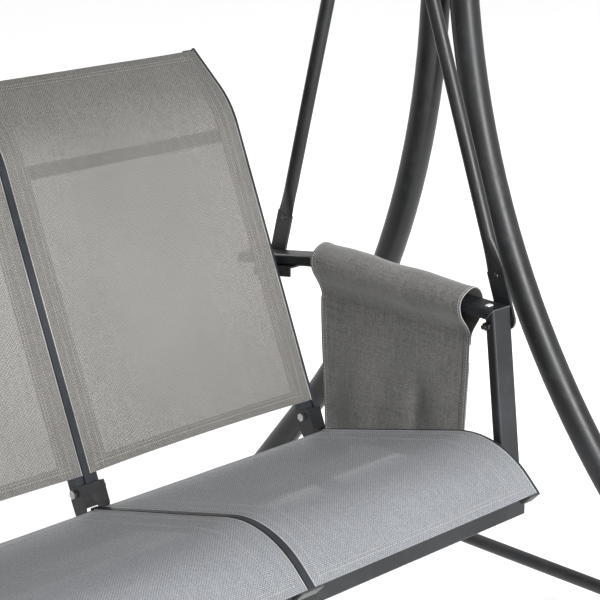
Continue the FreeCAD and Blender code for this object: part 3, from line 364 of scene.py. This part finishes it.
def cloth(name, grid, thickness, marks, material, body, slot):
    """A closed thin sheet: the grid is its outer face and the inner one lies a thickness behind it.

    marks are (across, along) grids in metres, which the weave reads."""
    rows, columns = grid.shape[:2]
    behind = grid - grid_normals(grid) * thickness
    count = rows * columns
    faces = grid_faces(rows, columns) + grid_faces(rows, columns, count, flip=True)
    rim = list(range(columns))
    rim += [r * columns + columns - 1 for r in range(1, rows)]
    rim += [(rows - 1) * columns + c for c in range(columns - 2, -1, -1)]
    rim += [r * columns for r in range(rows - 2, 0, -1)]
    for a, b in zip(rim, rim[1:] + rim[:1]):
        faces.append((b, a, a + count, b + count))
    points = np.concatenate([grid.reshape(-1, 3), behind.reshape(-1, 3)])
    piece = new_piece(name, points, faces, material, body)
    for key, values in zip(("across", "along"), marks):
        attribute = piece.data.attributes.new(key, "FLOAT", "POINT")
        attribute.data.foreach_set("value", np.tile(values.ravel(), 2).astype(np.float32))
    piece.data.set_sharp_from_angle(angle=math.radians(50))
    return piece


def tube(name, line, radius, material, body, slot, sides=8, closed=False):
    """A round strand along a line of points, with closed ends."""
    line = np.asarray(line, float)
    heading = np.gradient(line, axis=0)
    if closed:
        heading = np.roll(line, -1, axis=0) - np.roll(line, 1, axis=0)
    heading /= np.linalg.norm(heading, axis=1, keepdims=True)
    helper = np.where(np.abs(heading[:, :1]) < 0.9, [[1.0, 0, 0]], [[0, 1.0, 0]])
    first = np.cross(heading, helper)
    first /= np.linalg.norm(first, axis=1, keepdims=True)
    second = np.cross(heading, first)
    turns = np.linspace(0, 2 * math.pi, sides, endpoint=False)
    radii = np.broadcast_to(np.asarray(radius, float), (len(line),))
    ring = np.cos(turns)[None, :, None] * first[:, None] + np.sin(turns)[None, :, None] * second[:, None]
    points = line[:, None] + ring * radii[:, None, None]
    faces = []
    count = len(line)
    for r in range(count if closed else count - 1):
        for c in range(sides):
            a, b = r * sides + c, r * sides + (c + 1) % sides
            low, high = (r + 1) % count * sides + c, (r + 1) % count * sides + (c + 1) % sides
            faces.append((a, b, high, low))
    if not closed:
        faces.append(tuple(range(sides))[::-1])
        faces.append(tuple(range((count - 1) * sides, count * sides)))
    return new_piece(name, points.reshape(-1, 3), faces, material, body)


class Stitches:
    """Collects rows of thread stitches and makes them one piece."""

    RING = 5  # sides of a stitch
    LIFT = 0.0001  # how far off the cloth callers lay a row
    STRAIGHT = 0.62  # share of a stitch that keeps its full width
    LOOK = 0.001  # how far each way the heading is taken over

    def __init__(self, pitch=0.0052, length=0.0038, radius=0.00042):
        self.pitch, self.length, self.radius = pitch, length, radius
        self.centres, self.headings, self.normals = [], [], []

    def row(self, line, normals):
        """Stitches at even steps along a line lying on a surface with those normals."""
        line, normals = np.asarray(line, float), np.asarray(normals, float)
        length = run_lengths(line)
        at = np.arange(self.pitch / 2, length[-1] - self.pitch / 2, self.pitch)
        for store, values in ((self.centres, line), (self.normals, normals)):
            store.append(read_at(at, length, values))
        self.headings.append(read_at(at + self.LOOK, length, line) - read_at(at - self.LOOK, length, line))

    def make(self, name, material, body, slot):
        centre = np.concatenate(self.centres)
        heading = np.concatenate(self.headings)
        heading /= np.linalg.norm(heading, axis=1, keepdims=True)
        normal = np.concatenate(self.normals)
        normal /= np.linalg.norm(normal, axis=1, keepdims=True)
        side = np.cross(heading, normal)
        lift = centre + normal * (self.radius * 0.35)
        half = self.length / 2
        turns = np.linspace(0, 2 * math.pi, self.RING, endpoint=False)
        spokes = np.cos(turns)[None, :, None] * side[:, None] + np.sin(turns)[None, :, None] * normal[:, None]
        front = lift[:, None] + heading[:, None] * half * self.STRAIGHT + spokes * self.radius
        back = lift[:, None] - heading[:, None] * half * self.STRAIGHT + spokes * self.radius
        dip = normal * self.radius * 0.9
        tips = np.stack([lift + heading * half - dip, lift - heading * half - dip], axis=1)
        points = np.concatenate([front, back, tips], axis=1)
        size = 2 * self.RING + 2
        pattern = []
        for k in range(self.RING):
            after = (k + 1) % self.RING
            pattern.append((k, after, self.RING + after, self.RING + k))
            pattern.append((after, k, 2 * self.RING))
            pattern.append((self.RING + k, self.RING + after, 2 * self.RING + 1))
        faces = [tuple(n * size + v for v in face) for n in range(len(centre)) for face in pattern]
        return new_piece(name, points.reshape(-1, 3), faces, material, body)


def wrinkles(grid, size, height, seed):
    """Smooth random waves over a grid of points, as heights."""
    waves = np.random.default_rng(seed)
    total = np.zeros(grid.shape[:-1])
    for _ in range(9):
        direction = waves.normal(size=3)
        direction /= np.linalg.norm(direction)
        length = size * waves.uniform(0.6, 1.8)
        total += np.sin(grid @ direction * (2 * math.pi / length) + waves.uniform(0, 2 * math.pi))
    return total * height / 4.5


def smooth_step(value):
    """From 0 to 1 with no corner at either end."""
    value = np.clip(value, 0, 1)
    return value * value * (3 - 2 * value)


# ---------------------------------------------------------------- slings

LINE_STEP = 0.004  # spacing of points along a cloth's section
MESH_THICK = 0.0009
HEM_THICK = 0.0008
HEM_BEHIND = MESH_THICK + 0.0001
END_HEM = 0.022
EDGE = 0.0005  # how far a hem stops short of its panel's edge
RAIL_HOLD = 0.0135  # width of sling held by a rail
SAG = 0.005
SEAM_GROOVE = 0.0012  # half the width of cloth drawn in along a seam
ROW_STEP = 0.008


def end_outline(node):
    """Corners round the flat face at a CAD node's +X end, in order, as (y, z)."""
    work = bmesh.new()
    work.from_mesh(frame["nodes"][node].data)
    bmesh.ops.remove_doubles(work, verts=work.verts, dist=1e-6)
    work.verts.index_update()
    work.verts.ensure_lookup_table()
    reach = max(v.co.x for v in work.verts)
    caps = {f for f in work.faces if all(abs(v.co.x - reach) < 1e-5 for v in f.verts)}
    following = {}
    for face in caps:
        for loop in face.loops:
            if not all(f in caps for f in loop.edge.link_faces):
                following[loop.vert.index] = loop.link_loop_next.vert.index
    start = here = next(iter(following))
    outline = []
    while True:
        outline.append(tuple(work.verts[here].co)[1:])
        here = following[here]
        if here == start:
            break
    work.free()
    return np.array(outline)


def sitter_side(node):
    """The sling's line on the sitter's side, from its low front end, and its outward normals."""
    outline = end_outline(node)
    edges = np.linalg.norm(np.roll(outline, -1, axis=0) - outline, axis=1)
    first, second = sorted(np.argsort(edges)[:2])
    one = outline[first + 1:second + 1]
    other = np.concatenate([outline[second + 1:], outline[:first + 1]])
    line = max((one, other), key=lambda chain: (chain[:, 1] - chain[:, 0]).mean())
    if line[0, 0] > line[-1, 0]:
        line = line[::-1]
    steps = run_lengths(line)
    at = np.linspace(0, steps[-1], int(steps[-1] / LINE_STEP))
    dense = read_at(at, steps, line)
    kernel = np.ones(7) / 7
    padded = np.pad(dense, ((3, 3), (0, 0)), mode="reflect", reflect_type="odd")
    dense = np.stack([np.convolve(padded[:, k], kernel, "valid") for k in range(2)], axis=1)
    heading = np.gradient(dense, axis=0)
    heading /= np.linalg.norm(heading, axis=1, keepdims=True)
    return dense, np.stack([-heading[:, 1], heading[:, 0]], axis=1), at


class Sling:
    """Stretched mesh panel between two rails."""

    def __init__(self, part, panel, material, hem_material, hem, pinch, bow):
        self.name = "%s_sling_%s" % (part, panel)
        self.slot = part + "_mesh"
        self.material, self.hem_material = material, hem_material
        self.hem, self.pinch, self.bow = hem, pinch, bow
        low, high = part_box(self.name)
        self.left, self.right = low.x, high.x
        self.line, self.normals, self.steps = sitter_side(self.name)
        turning = np.linalg.norm(np.gradient(self.normals, axis=0), axis=1)
        self.turning = np.convolve(turning / turning.max(), np.ones(9) / 9, "same")
        self.seed = sum(map(ord, self.name))
        self.held_left, self.held_right = self.left + RAIL_HOLD, self.right - RAIL_HOLD
        first = PANELS.index(panel)
        self.rails = ["%s_rail_%s" % (part, rail) for rail in RAILS[first:first + 2]]

    def surface(self, across, along, behind=0.0):
        """Points and normals at distances from the left edge and along the line."""
        x = self.left + across
        place = read_at(along, self.steps, self.line)
        normal = read_at(along, self.steps, self.normals)
        turning = np.interp(along, self.steps, self.turning)
        share = np.clip((x - self.held_left) / (self.held_right - self.held_left), 0, 1)
        belly = 1 - (2 * share - 1) ** 2
        length = self.steps[-1]
        middle = np.sin(np.pi * np.clip(along / length, 0, 1)) ** 0.7
        inward = belly * (SAG * (0.25 + 0.75 * middle) + self.pinch * turning)
        flat = np.stack([x, along, np.zeros_like(x) + self.seed], axis=-1)
        edge = 1 - smooth_step(np.minimum(across, self.right - self.left - across) / 0.09)
        inward = inward + wrinkles(flat, 0.05, 0.0003, self.seed) * edge * belly ** 0.3
        inward = inward + wrinkles(flat, 0.30, 0.0009, self.seed + 1) * belly
        # the low end edge bows between the rails
        toward = np.stack([normal[..., 1], -normal[..., 0]], axis=-1)
        near_start = np.clip(1 - along / 0.08, 0, 1)
        bow = self.bow * belly * near_start
        place = place - normal * (inward + behind)[..., None] + toward * bow[..., None]
        point = np.stack([x, place[..., 0], place[..., 1]], axis=-1)
        return point, np.stack([np.zeros_like(x), normal[..., 0], normal[..., 1]], axis=-1)

    def patch(self, name, material, across, along, behind, thickness):
        marks = np.meshgrid(across, along)
        grid, _ = self.surface(marks[0], marks[1], behind)
        return cloth(name, grid, thickness, marks, material, "swing", self.slot)

    def build(self):
        width, length, hem = self.right - self.left, self.steps[-1], self.hem
        seam = (hem - 0.004, hem - 0.010, 0.017)
        grooves = [g + d for g in seam for d in (-SEAM_GROOVE, 0.0, SEAM_GROOVE)]
        across = sorted(set(np.linspace(0, width, 41)) | set(grooves) | {width - g for g in grooves})
        rows = int(length / ROW_STEP)
        main = self.patch(self.name + "_cloth", self.material, np.array(across),
                          np.linspace(0, length, rows), 0.0, MESH_THICK)
        long_run = np.linspace(EDGE, length - EDGE, rows)
        inner = np.linspace(hem + EDGE, width - hem - EDGE, 33)
        strips = [("left", np.linspace(EDGE, hem, 9), long_run),
                  ("right", np.linspace(width - hem, width - EDGE, 9), long_run)]
        for tag, start in (("low", EDGE), ("high", length - END_HEM - EDGE)):
            strips.append((tag, inner, np.linspace(start, start + END_HEM, 5)))
        for tag, wide, long in strips:
            name = "%s_hem_%s" % (self.name, tag)
            self.patch(name, self.hem_material, wide, long, HEM_BEHIND, HEM_THICK)
        sewing = Stitches()
        run = np.linspace(0.004, length - 0.004, rows)
        for offset in seam:
            for place in (offset, width - offset):
                sewing.row(*self.surface(np.full_like(run, place), run))
        cross = np.linspace(0.012, width - 0.012, 60)
        for offset in (END_HEM - 0.003, END_HEM - 0.009):
            for place in (offset, length - offset):
                sewing.row(*self.surface(cross, np.full_like(cross, place)))
        sewn = sewing.make(self.name + "_stitches", MESH_THREAD, "swing", self.slot)
        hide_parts(self.name)


LIP_SECTION = ((-0.00045, -0.001), (0.00045, -0.001), (0.00045, 0.0011), (-0.00045, 0.0011))
INNER_LIP = 0.0085  # from the middle of an inner rail
SIDE_LIP = 0.0053  # from the outer face of a side rail


def build_groove_lips(part):
    """Thin strips along the edges of the grooves that the slings slide into, beside each rail's ridge; their
    pale coat is a painted highlight.
    """
    line, normals, _ = sitter_side(part + "_sling_centre")
    for rail in RAILS:
        low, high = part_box("%s_rail_%s" % (part, rail))
        middle = (low.x + high.x) / 2
        if rail.endswith("inner"):
            places = (middle - INNER_LIP, middle + INNER_LIP)
        elif rail.startswith("left"):
            places = (low.x + SIDE_LIP,)
        else:
            places = (high.x - SIDE_LIP,)
        for number, x in enumerate(places):
            corners = []
            for dx, rise in LIP_SECTION:
                edge = line + normals * rise
                corners.append(np.column_stack([np.full(len(edge), x + dx), edge[:, 0], edge[:, 1]]))
            points = np.stack(corners, axis=1).reshape(-1, 3)
            faces = []
            for r in range(len(line) - 1):
                for c in range(4):
                    a, b = r * 4 + c, r * 4 + (c + 1) % 4
                    faces.append((a, b, b + 4, a + 4))
            faces += [(3, 2, 1, 0), tuple(len(points) - 4 + c for c in range(4))]
            name = "%s_groove_lip_%s_%d" % (part, rail, number)
            new_piece(name, points, faces, GROOVE_LIP_HIGHLIGHT, "swing", smooth=False)


for panel in PANELS:
    Sling("seat", panel, SEAT_MESH, SEAT_HEM, hem=0.056, pinch=0.004, bow=0.0).build()
    Sling("back", panel, BACK_MESH, BACK_HEM, hem=0.040, pinch=0.004, bow=0.0035).build()
for part in ("seat", "back"):
    build_groove_lips(part)


# ---------------------------------------------------------------- arm pockets

POCKET_THICK = 0.0011
POCKET_HEM_THICK = 0.0007
POUCH_HALF = 0.0072  # half the width of the pouch, between its walls
MOUTH = 0.575
SEAM = 0.618


def polyline(points, step):
    """Even steps along a line through points."""
    points = np.asarray(points, float)
    length = run_lengths(points)
    return read_at(np.linspace(0, length[-1], max(2, int(length[-1] / step) + 1)), length, points)


def rounded_line(points, passes=3):
    """Corner cutting: a smooth line near the points, through both ends."""
    points = np.asarray(points, float)
    for _ in range(passes):
        near = points[:-1] * 0.75 + points[1:] * 0.25
        far = points[:-1] * 0.25 + points[1:] * 0.75
        between = np.stack([near, far], axis=1).reshape(-1, 2)
        points = np.vstack([points[:1], between, points[-1:]])
    return points


# the sleeve's section at its front end, from the seam up the slack inner side, over the
# armrest and down its outer side: millimetres inwards from the armrest's middle, and height
SLEEVE = ((5, 618), (6, 626), (14, 640), (23, 650), (31, 662), (34.5, 678), (31, 690), (22, 698),
          (9, 704.5), (-4, 706), (-15, 700), (-22, 690), (-24.3, 682), (-24.5, 670), (-24, 660),
          (-18, 648), (-6, 636), (2, 626), (3.4, 618))
SLEEVE_CLIMB = 0.010


def pocket_profile(side, centre_x, bottom):
    """Section of the pocket from its mouth down, under, up to the seam and round the armrest."""
    inner, outer = -side * POUCH_HALF, side * POUCH_HALF
    points = [(outer, MOUTH), (outer, bottom + POUCH_HALF)]
    for turn in np.linspace(0, math.pi, 9)[1:-1]:
        points.append((outer * math.cos(turn), bottom + POUCH_HALF - POUCH_HALF * math.sin(turn)))
    points.append((inner, bottom + POUCH_HALF))
    points.append((inner, SEAM))
    panel_end = np.linalg.norm(np.diff(np.array(points), axis=0), axis=1).sum()
    loop = rounded_line([(-side * x / 1000, z / 1000) for x, z in SLEEVE])
    points += [tuple(p) for p in loop[1:]]
    points.append((inner + side * 0.0030, SEAM - 0.012))
    line = polyline(points, LINE_STEP)
    marks = run_lengths(line)
    line[:, 0] += centre_x
    return line, marks, panel_end


def build_pocket(name, side):
    node = "arm_pocket_" + name
    low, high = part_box(node)
    centre_x = (low.x + high.x) / 2
    line, marks, panel_end = pocket_profile(side, centre_x, low.z)
    width = high.y - low.y
    across = np.linspace(0, width, 61)
    grid_across, grid_along = np.meshgrid(across, marks)
    x = np.repeat(line[:, :1], len(across), axis=1)
    z = np.repeat(line[:, 1:], len(across), axis=1)
    y = low.y + grid_across
    share = grid_across / width
    # below the seam the two walls meet in side seams, so the pouch swells only in the middle
    wall_x = centre_x - side * POUCH_HALF
    swell = 1 - np.abs(2 * share - 1) ** 5
    pouch = (grid_along < panel_end) & ((x - wall_x) * side > 1e-4)
    x = np.where(pouch, wall_x + (x - wall_x) * (0.12 + 0.88 * swell), x)
    # the panel hangs from the seam: its edges draw in a little and soft folds run down it
    hang = smooth_step((SEAM - z) / (SEAM - low.z)) * (grid_along < panel_end + 0.002)
    y = y + hang * 0.010 * (1 - 2 * share)
    folds = 0.0022 * np.sin(share * 9.5 + 0.6) + 0.0016 * np.sin(share * 21 + 2.0 + z * 6)
    deep = -0.0075 * np.exp(-((share - 0.33) / 0.05) ** 2) * smooth_step((SEAM - 0.05 - z) / 0.10)
    x = x - side * hang * (folds + deep)
    # the sleeve: slack between its stitched ends, with small waves along the top
    loop = grid_along >= panel_end
    over = smooth_step((z - SEAM) / 0.05) * loop
    droop = 0.0012 * np.sin(share * 13 + 1) * np.clip((z - SEAM) / 0.09, 0, 1)
    z = z + over * (SLEEVE_CLIMB * share - droop)
    grid = np.stack([x, y, z], axis=2)
    normals = grid_normals(grid)
    ruck = wrinkles(grid, 0.07, 0.0009, 11) + wrinkles(grid, 0.022, 0.00018, 12)
    grid = grid + normals * (ruck * (0.3 + 0.7 * np.sin(np.pi * share) ** 0.5))[..., None]
    if np.cross(grid[1, 0] - grid[0, 0], grid[0, 1] - grid[0, 0]) @ (1.0, 0, 0) * side > 0:
        grid, grid_across = grid[:, ::-1], grid_across[:, ::-1]
    outward = grid_normals(grid)
    ride_on = ("swing", "pocket_fabric")
    main = cloth(node + "_cloth", grid, POCKET_THICK, (grid_across, grid_along), POCKET_CLOTH, *ride_on)
    # rolled hems along both open ends and over the mouth, with pale thread
    sewing = Stitches()
    columns = grid.shape[1]
    for tag, first, step in (("a", 0, 1), ("b", columns - 1, -1)):
        picks = sorted(first + step * k for k in range(3))
        strip = grid[:, picks] + outward[:, picks] * POCKET_HEM_THICK
        strip_marks = (grid_across[:, picks], grid_along[:, picks])
        hem_name = "%s_hem_%s" % (node, tag)
        cloth(hem_name, strip, POCKET_HEM_THICK, strip_marks, POCKET_CLOTH, *ride_on)
        inset = first + step
        edge = grid[:, inset] * 0.75 + grid[:, first] * 0.25 + outward[:, inset] * 0.0008
        sewing.row(edge, outward[:, inset])
        rim = grid[:, first] + outward[:, first] * Stitches.LIFT
        tube("%s_piping_%s" % (node, tag), rim, 0.0005, PALE_THREAD, *ride_on, sides=6)
    sewing.row(grid[3] + outward[3] * Stitches.LIFT, outward[3])
    sewing.make(node + "_stitches", PALE_THREAD, *ride_on)
    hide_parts(node)


for name, side in SIDES:
    build_pocket(name, side)


# ---------------------------------------------------------------- canopy cover

COVER_THICK = 0.0012
FOLD, SKIRT = 0.006, 0.0155  # the cover's fold at each side and the skirt below it
COVER_HEM_BEHIND, COVER_HEM_THICK = 0.0014, 0.0010


def build_canopy():
    low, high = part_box("canopy_cover")
    bar_low, bar_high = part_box("canopy_front_bar")
    crown_low, crown_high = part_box("canopy_centre_bar")
    bar_radius = (bar_high.z - bar_low.z) / 2
    reach = -(bar_low.y + bar_radius)
    eave, crown = (bar_low.z + bar_high.z) / 2, (crown_low.z + crown_high.z) / 2
    rise = crown - eave
    arch = (reach ** 2 + rise ** 2) / (2 * rise)
    skin = bar_radius + COVER_THICK
    # profile from the front valance's hem up, over the bars and down to the rear hem
    hub = crown - arch
    tilt = math.asin(reach / arch)
    front = [(-reach - skin, low.z), (-reach - skin, eave)]
    for turn in np.linspace(math.pi, math.pi / 2 + tilt, 7)[1:]:
        front.append((-reach + skin * math.cos(turn), eave + skin * math.sin(turn)))
    roof = []
    for turn in np.linspace(-tilt, tilt, 61)[1:-1]:
        roof.append(((arch + skin) * math.sin(turn), hub + (arch + skin) * math.cos(turn)))
    rear = [(-y, z) for y, z in front[::-1]]
    line = polyline(front + roof + rear, 0.016)
    marks = run_lengths(line)
    heading = np.gradient(line, axis=0)
    heading /= np.linalg.norm(heading, axis=1, keepdims=True)
    up = np.stack([-heading[:, 1], heading[:, 0]], axis=1)

    # across: a skirt folded down at each side, then the roof
    half = high.x
    left = [(-half, -FOLD - d) for d in (SKIRT, SKIRT * 0.66, SKIRT * 0.33)]
    for turn in np.linspace(math.pi, math.pi / 2, 5):
        left.append((-half + FOLD + FOLD * math.cos(turn), -FOLD + FOLD * math.sin(turn)))
    middle = [(x, 0.0) for x in np.linspace(-half + FOLD, half - FOLD, 75)[1:-1]]
    section = np.array(left + middle + [(-x, d) for x, d in left[::-1]])
    across_marks = run_lengths(section)
    grid_across, grid_along = np.meshgrid(across_marks, marks)
    x = np.repeat(section[None, :, 0], len(line), axis=0)
    depth = np.repeat(section[None, :, 1], len(line), axis=0)

    # the roof cloth is slack between the bars, away from the side bars that hold it up
    y_line, z_line = line[:, 0], line[:, 1]
    between = np.clip(1 - (np.abs(np.abs(y_line) - reach / 2) / (reach / 2)) ** 2, 0, 1)
    between = between * (np.abs(y_line) < reach)
    inner = smooth_step((half - 0.02 - np.abs(x)) / 0.30)
    slack = 0.021 * between[:, None] * inner
    hanging = smooth_step((eave - z_line) / (eave - low.z))[:, None]
    sway = (0.004 * np.sin(x * 9.0 + 0.7) + 0.002 * np.sin(x * 23.0 + y_line[:, None] * 3)) * hanging
    inset = smooth_step((half - np.abs(x)) / 0.05)
    push = depth - slack + (sway - 0.004 * hanging) * inset
    point_y = y_line[:, None] + up[:, :1] * push
    point_z = z_line[:, None] + up[:, 1:] * push
    grid = np.stack([x, point_y, point_z], axis=2)
    normals = grid_normals(grid)
    ruck = wrinkles(grid, 0.35, 0.0014, 21) + wrinkles(grid, 0.09, 0.0004, 22)
    calm = smooth_step((half - 0.03 - np.abs(x)) / 0.15)
    grid = grid + normals * (ruck * calm)[..., None]
    grid[..., 2] = np.minimum(np.maximum(grid[..., 2], low.z), high.z + 0.001)
    ride_on = ("canopy", "canopy_fabric")
    main = cloth("canopy_cloth_cover", grid, COVER_THICK, (grid_across, grid_along), CANOPY_CLOTH, *ride_on)
    outward = grid_normals(grid)
    sewing = Stitches(pitch=0.0068, length=0.0050, radius=0.0005)
    last = len(marks) - 1
    for distance in (0.018, 0.024, 0.092, 0.098, 0.150, 0.156):
        for at in (distance, marks[-1] - distance):
            position = at / marks[-1] * last
            row = int(position)
            share = position - row
            line_here = grid[row] * (1 - share) + grid[min(row + 1, last)] * share
            sewing.row(line_here + outward[row] * Stitches.LIFT, outward[row])
    for column in (1, 9, len(across_marks) - 10, len(across_marks) - 2):
        sewing.row(grid[:, column] + outward[:, column] * Stitches.LIFT, outward[:, column])
    pieces = [sewing.make("canopy_stitches", DARK_THREAD, *ride_on)]
    # doubled hems behind the valances' lower edges
    for tag, rows in (("front", slice(0, 3)), ("rear", slice(last - 2, last + 1))):
        strip = grid[rows] - outward[rows] * COVER_HEM_BEHIND
        strip_marks = (grid_across[rows], grid_along[rows])
        pieces.append(cloth("canopy_hem_" + tag, strip, COVER_HEM_THICK, strip_marks, CANOPY_CLOTH, *ride_on))
    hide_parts("canopy_cover")
    bars = ["canopy_front_bar", "canopy_centre_bar", "canopy_rear_bar"]
    bars += ["canopy_side_bar_left", "canopy_side_bar_right"]


build_canopy()


# ---------------------------------------------------------------- welds

def weld(name, line, radius, material, body, closed=True):
    """A weld bead: a thin strand whose ripples follow one another along a seam."""
    line = polyline(np.vstack([line, line[:1]]) if closed else line, 0.0022)
    if closed:
        line = line[:-1]
    ripple = 1 + 0.16 * np.sin(np.arange(len(line)) * 2.1) + 0.06 * rng.normal(size=len(line))
    tube(name, line, radius * ripple, material, body, "frame_paint", sides=7, closed=closed)


def round_rectangle(x0, x1, y0, y1, z, corner):
    """Points round a level rectangle with rounded corners."""
    points = []
    for cx, cy, turn in ((x1, y1, 0), (x0, y1, 90), (x0, y0, 180), (x1, y0, 270)):
        cx -= math.copysign(corner, math.cos(math.radians(turn + 45)))
        cy -= math.copysign(corner, math.sin(math.radians(turn + 45)))
        for step in np.linspace(0, 90, 5):
            angle = math.radians(turn + step)
            points.append((cx + corner * math.cos(angle), cy + corner * math.sin(angle), z))
    return np.array(points)


MITRE_DROP = 1.106  # how far the mitre falls for each metre it runs back
MITRE_CORNER = 0.005


def mitre_line(low, high, front):
    """The mitre seam between post and armrest, once round, with rounded corners."""
    deep = high.y - front
    corners = [np.array((x, front + deep * share, high.z - MITRE_DROP * deep * share))
               for x, share in ((low.x, 1), (low.x, 0), (high.x, 0), (high.x, 1))]
    path = []
    for index, here in enumerate(corners):
        before, after = corners[index - 1], corners[(index + 1) % 4]
        start = here + (before - here) / np.linalg.norm(before - here) * MITRE_CORNER
        end = here + (after - here) / np.linalg.norm(after - here) * MITRE_CORNER
        crown = here * 0.75 + (start + end) * 0.125
        for t in np.linspace(0, 1, 5):
            path.append((1 - t) ** 2 * start + 2 * t * (1 - t) * crown + t ** 2 * end)
    return np.array(path)


RISER_HALF = 0.010
BEAD, POST_BEAD, MITRE_BEAD = 0.0015, 0.0017, 0.0009  # radii


def build_welds():
    bar_low, bar_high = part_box("front_seat_bar")
    for name, _ in SIDES:
        low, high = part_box("arm_post_" + name)
        base = round_rectangle(low.x, high.x, bar_low.y, bar_high.y, bar_high.z + 0.0004, 0.004)
        weld("post_weld_" + name, base, POST_BEAD, ARM_PAINT_SKY_TINT, "swing")
        seam = mitre_line(low, high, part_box("armrest_" + name)[0].y)
        # the mitre bead's lighter coat is a painted highlight
        weld("mitre_weld_" + name, seam, MITRE_BEAD, MITRE_HIGHLIGHT, "swing")
    for rail in RAILS:
        low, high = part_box("seat_rail_" + rail)
        middle = (low.x + high.x) / 2
        base = round_rectangle(middle - RISER_HALF, middle + RISER_HALF, bar_low.y, bar_high.y,
                               bar_high.z + 0.0003, 0.001)
        weld("riser_weld_" + rail, base, BEAD, FRAME_PAINT, "swing")
    spread_low, spread_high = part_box("back_spreader")
    centre_y, centre_z = (spread_low.y + spread_high.y) / 2, (spread_low.z + spread_high.z) / 2
    radius = (spread_high.z - spread_low.z) / 2
    for rail in RAILS[1:3]:
        low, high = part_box("back_rail_" + rail)
        for tag, x in (("a", low.x), ("b", high.x)):
            arc = [(x, centre_y + radius * math.cos(t), centre_z + radius * math.sin(t))
                   for t in np.linspace(math.radians(100), math.radians(215), 14)]
            name = "spreader_weld_%s_%s" % (rail, tag)
            weld(name, np.array(arc), BEAD, FRAME_PAINT, "swing", closed=False)


build_welds()


# ---------------------------------------------------------------- studio

AIM = Vector((0.4574, -0.2071, 0.7451))
VIEW_AZIMUTH = math.radians(44.48)
VIEW_ELEVATION = math.radians(16.82)
VIEW_DISTANCE = 3.0
LENS_MM = 117.66
SENSOR_MM = 36.0


def make_camera():
    """A camera at the set bearing, height and distance from the aim."""
    forward = Vector((
        math.sin(VIEW_AZIMUTH) * math.cos(VIEW_ELEVATION),
        math.cos(VIEW_AZIMUTH) * math.cos(VIEW_ELEVATION),
        -math.sin(VIEW_ELEVATION)))
    data = bpy.data.cameras.new("camera")
    data.lens = LENS_MM
    data.sensor_width = SENSOR_MM
    camera = bpy.data.objects.new("camera", data)
    bpy.context.scene.collection.objects.link(camera)
    camera.location = AIM - forward * VIEW_DISTANCE
    camera.rotation_euler = forward.to_track_quat("-Z", "Y").to_euler()
    bpy.context.scene.camera = camera


def soft_light(name, place, target, size, power):
    """A rectangular area light that faces its target."""
    data = bpy.data.lights.new(name, "AREA")
    data.shape = "RECTANGLE"
    data.size, data.size_y = size
    data.energy = power
    lamp = bpy.data.objects.new(name, data)
    bpy.context.scene.collection.objects.link(lamp)
    lamp.location = place
    lamp.rotation_euler = (Vector(target) - Vector(place)).to_track_quat("-Z", "Y").to_euler()


FLOOR_HALF = 30.0
FLOOR_DROP = 0.0005  # keeps the feet from lying in the floor's own plane


def make_studio():
    """The floor, three soft lights and an even white surround."""
    corners = [(x * FLOOR_HALF, y * FLOOR_HALF, 0) for x, y in ((-1, -1), (1, -1), (1, 1), (-1, 1))]
    mesh = bpy.data.meshes.new("floor")
    mesh.from_pydata(corners, [], [(0, 1, 2, 3)])
    mesh.materials.append(plain_floor("pale_floor"))
    floor = bpy.data.objects.new("floor", mesh)
    bpy.context.scene.collection.objects.link(floor)
    floor.location.z = -FLOOR_DROP
    soft_light("key_light", (-0.2, -4.6, 2.5), (0.8, 0, 0.9), (0.9, 4.6), 600)
    soft_light("fill_light", (-3.0, -3.6, 3.4), (0.3, 0, 0.6), (2.4, 2.4), 20)
    soft_light("back_light", (1.5, 4.5, 3.2), (0.3, 0, 0.7), (3.0, 2.0), 90)
    world = bpy.data.worlds.new("studio")
    world.use_nodes = True
    background = world.node_tree.nodes["Background"]
    background.inputs[0].default_value = (1.0, 1.0, 1.0, 1.0)
    background.inputs[1].default_value = 1.0
    bpy.context.scene.world = world
    bpy.context.scene.view_settings.view_transform = "Standard"


make_camera()
make_studio()
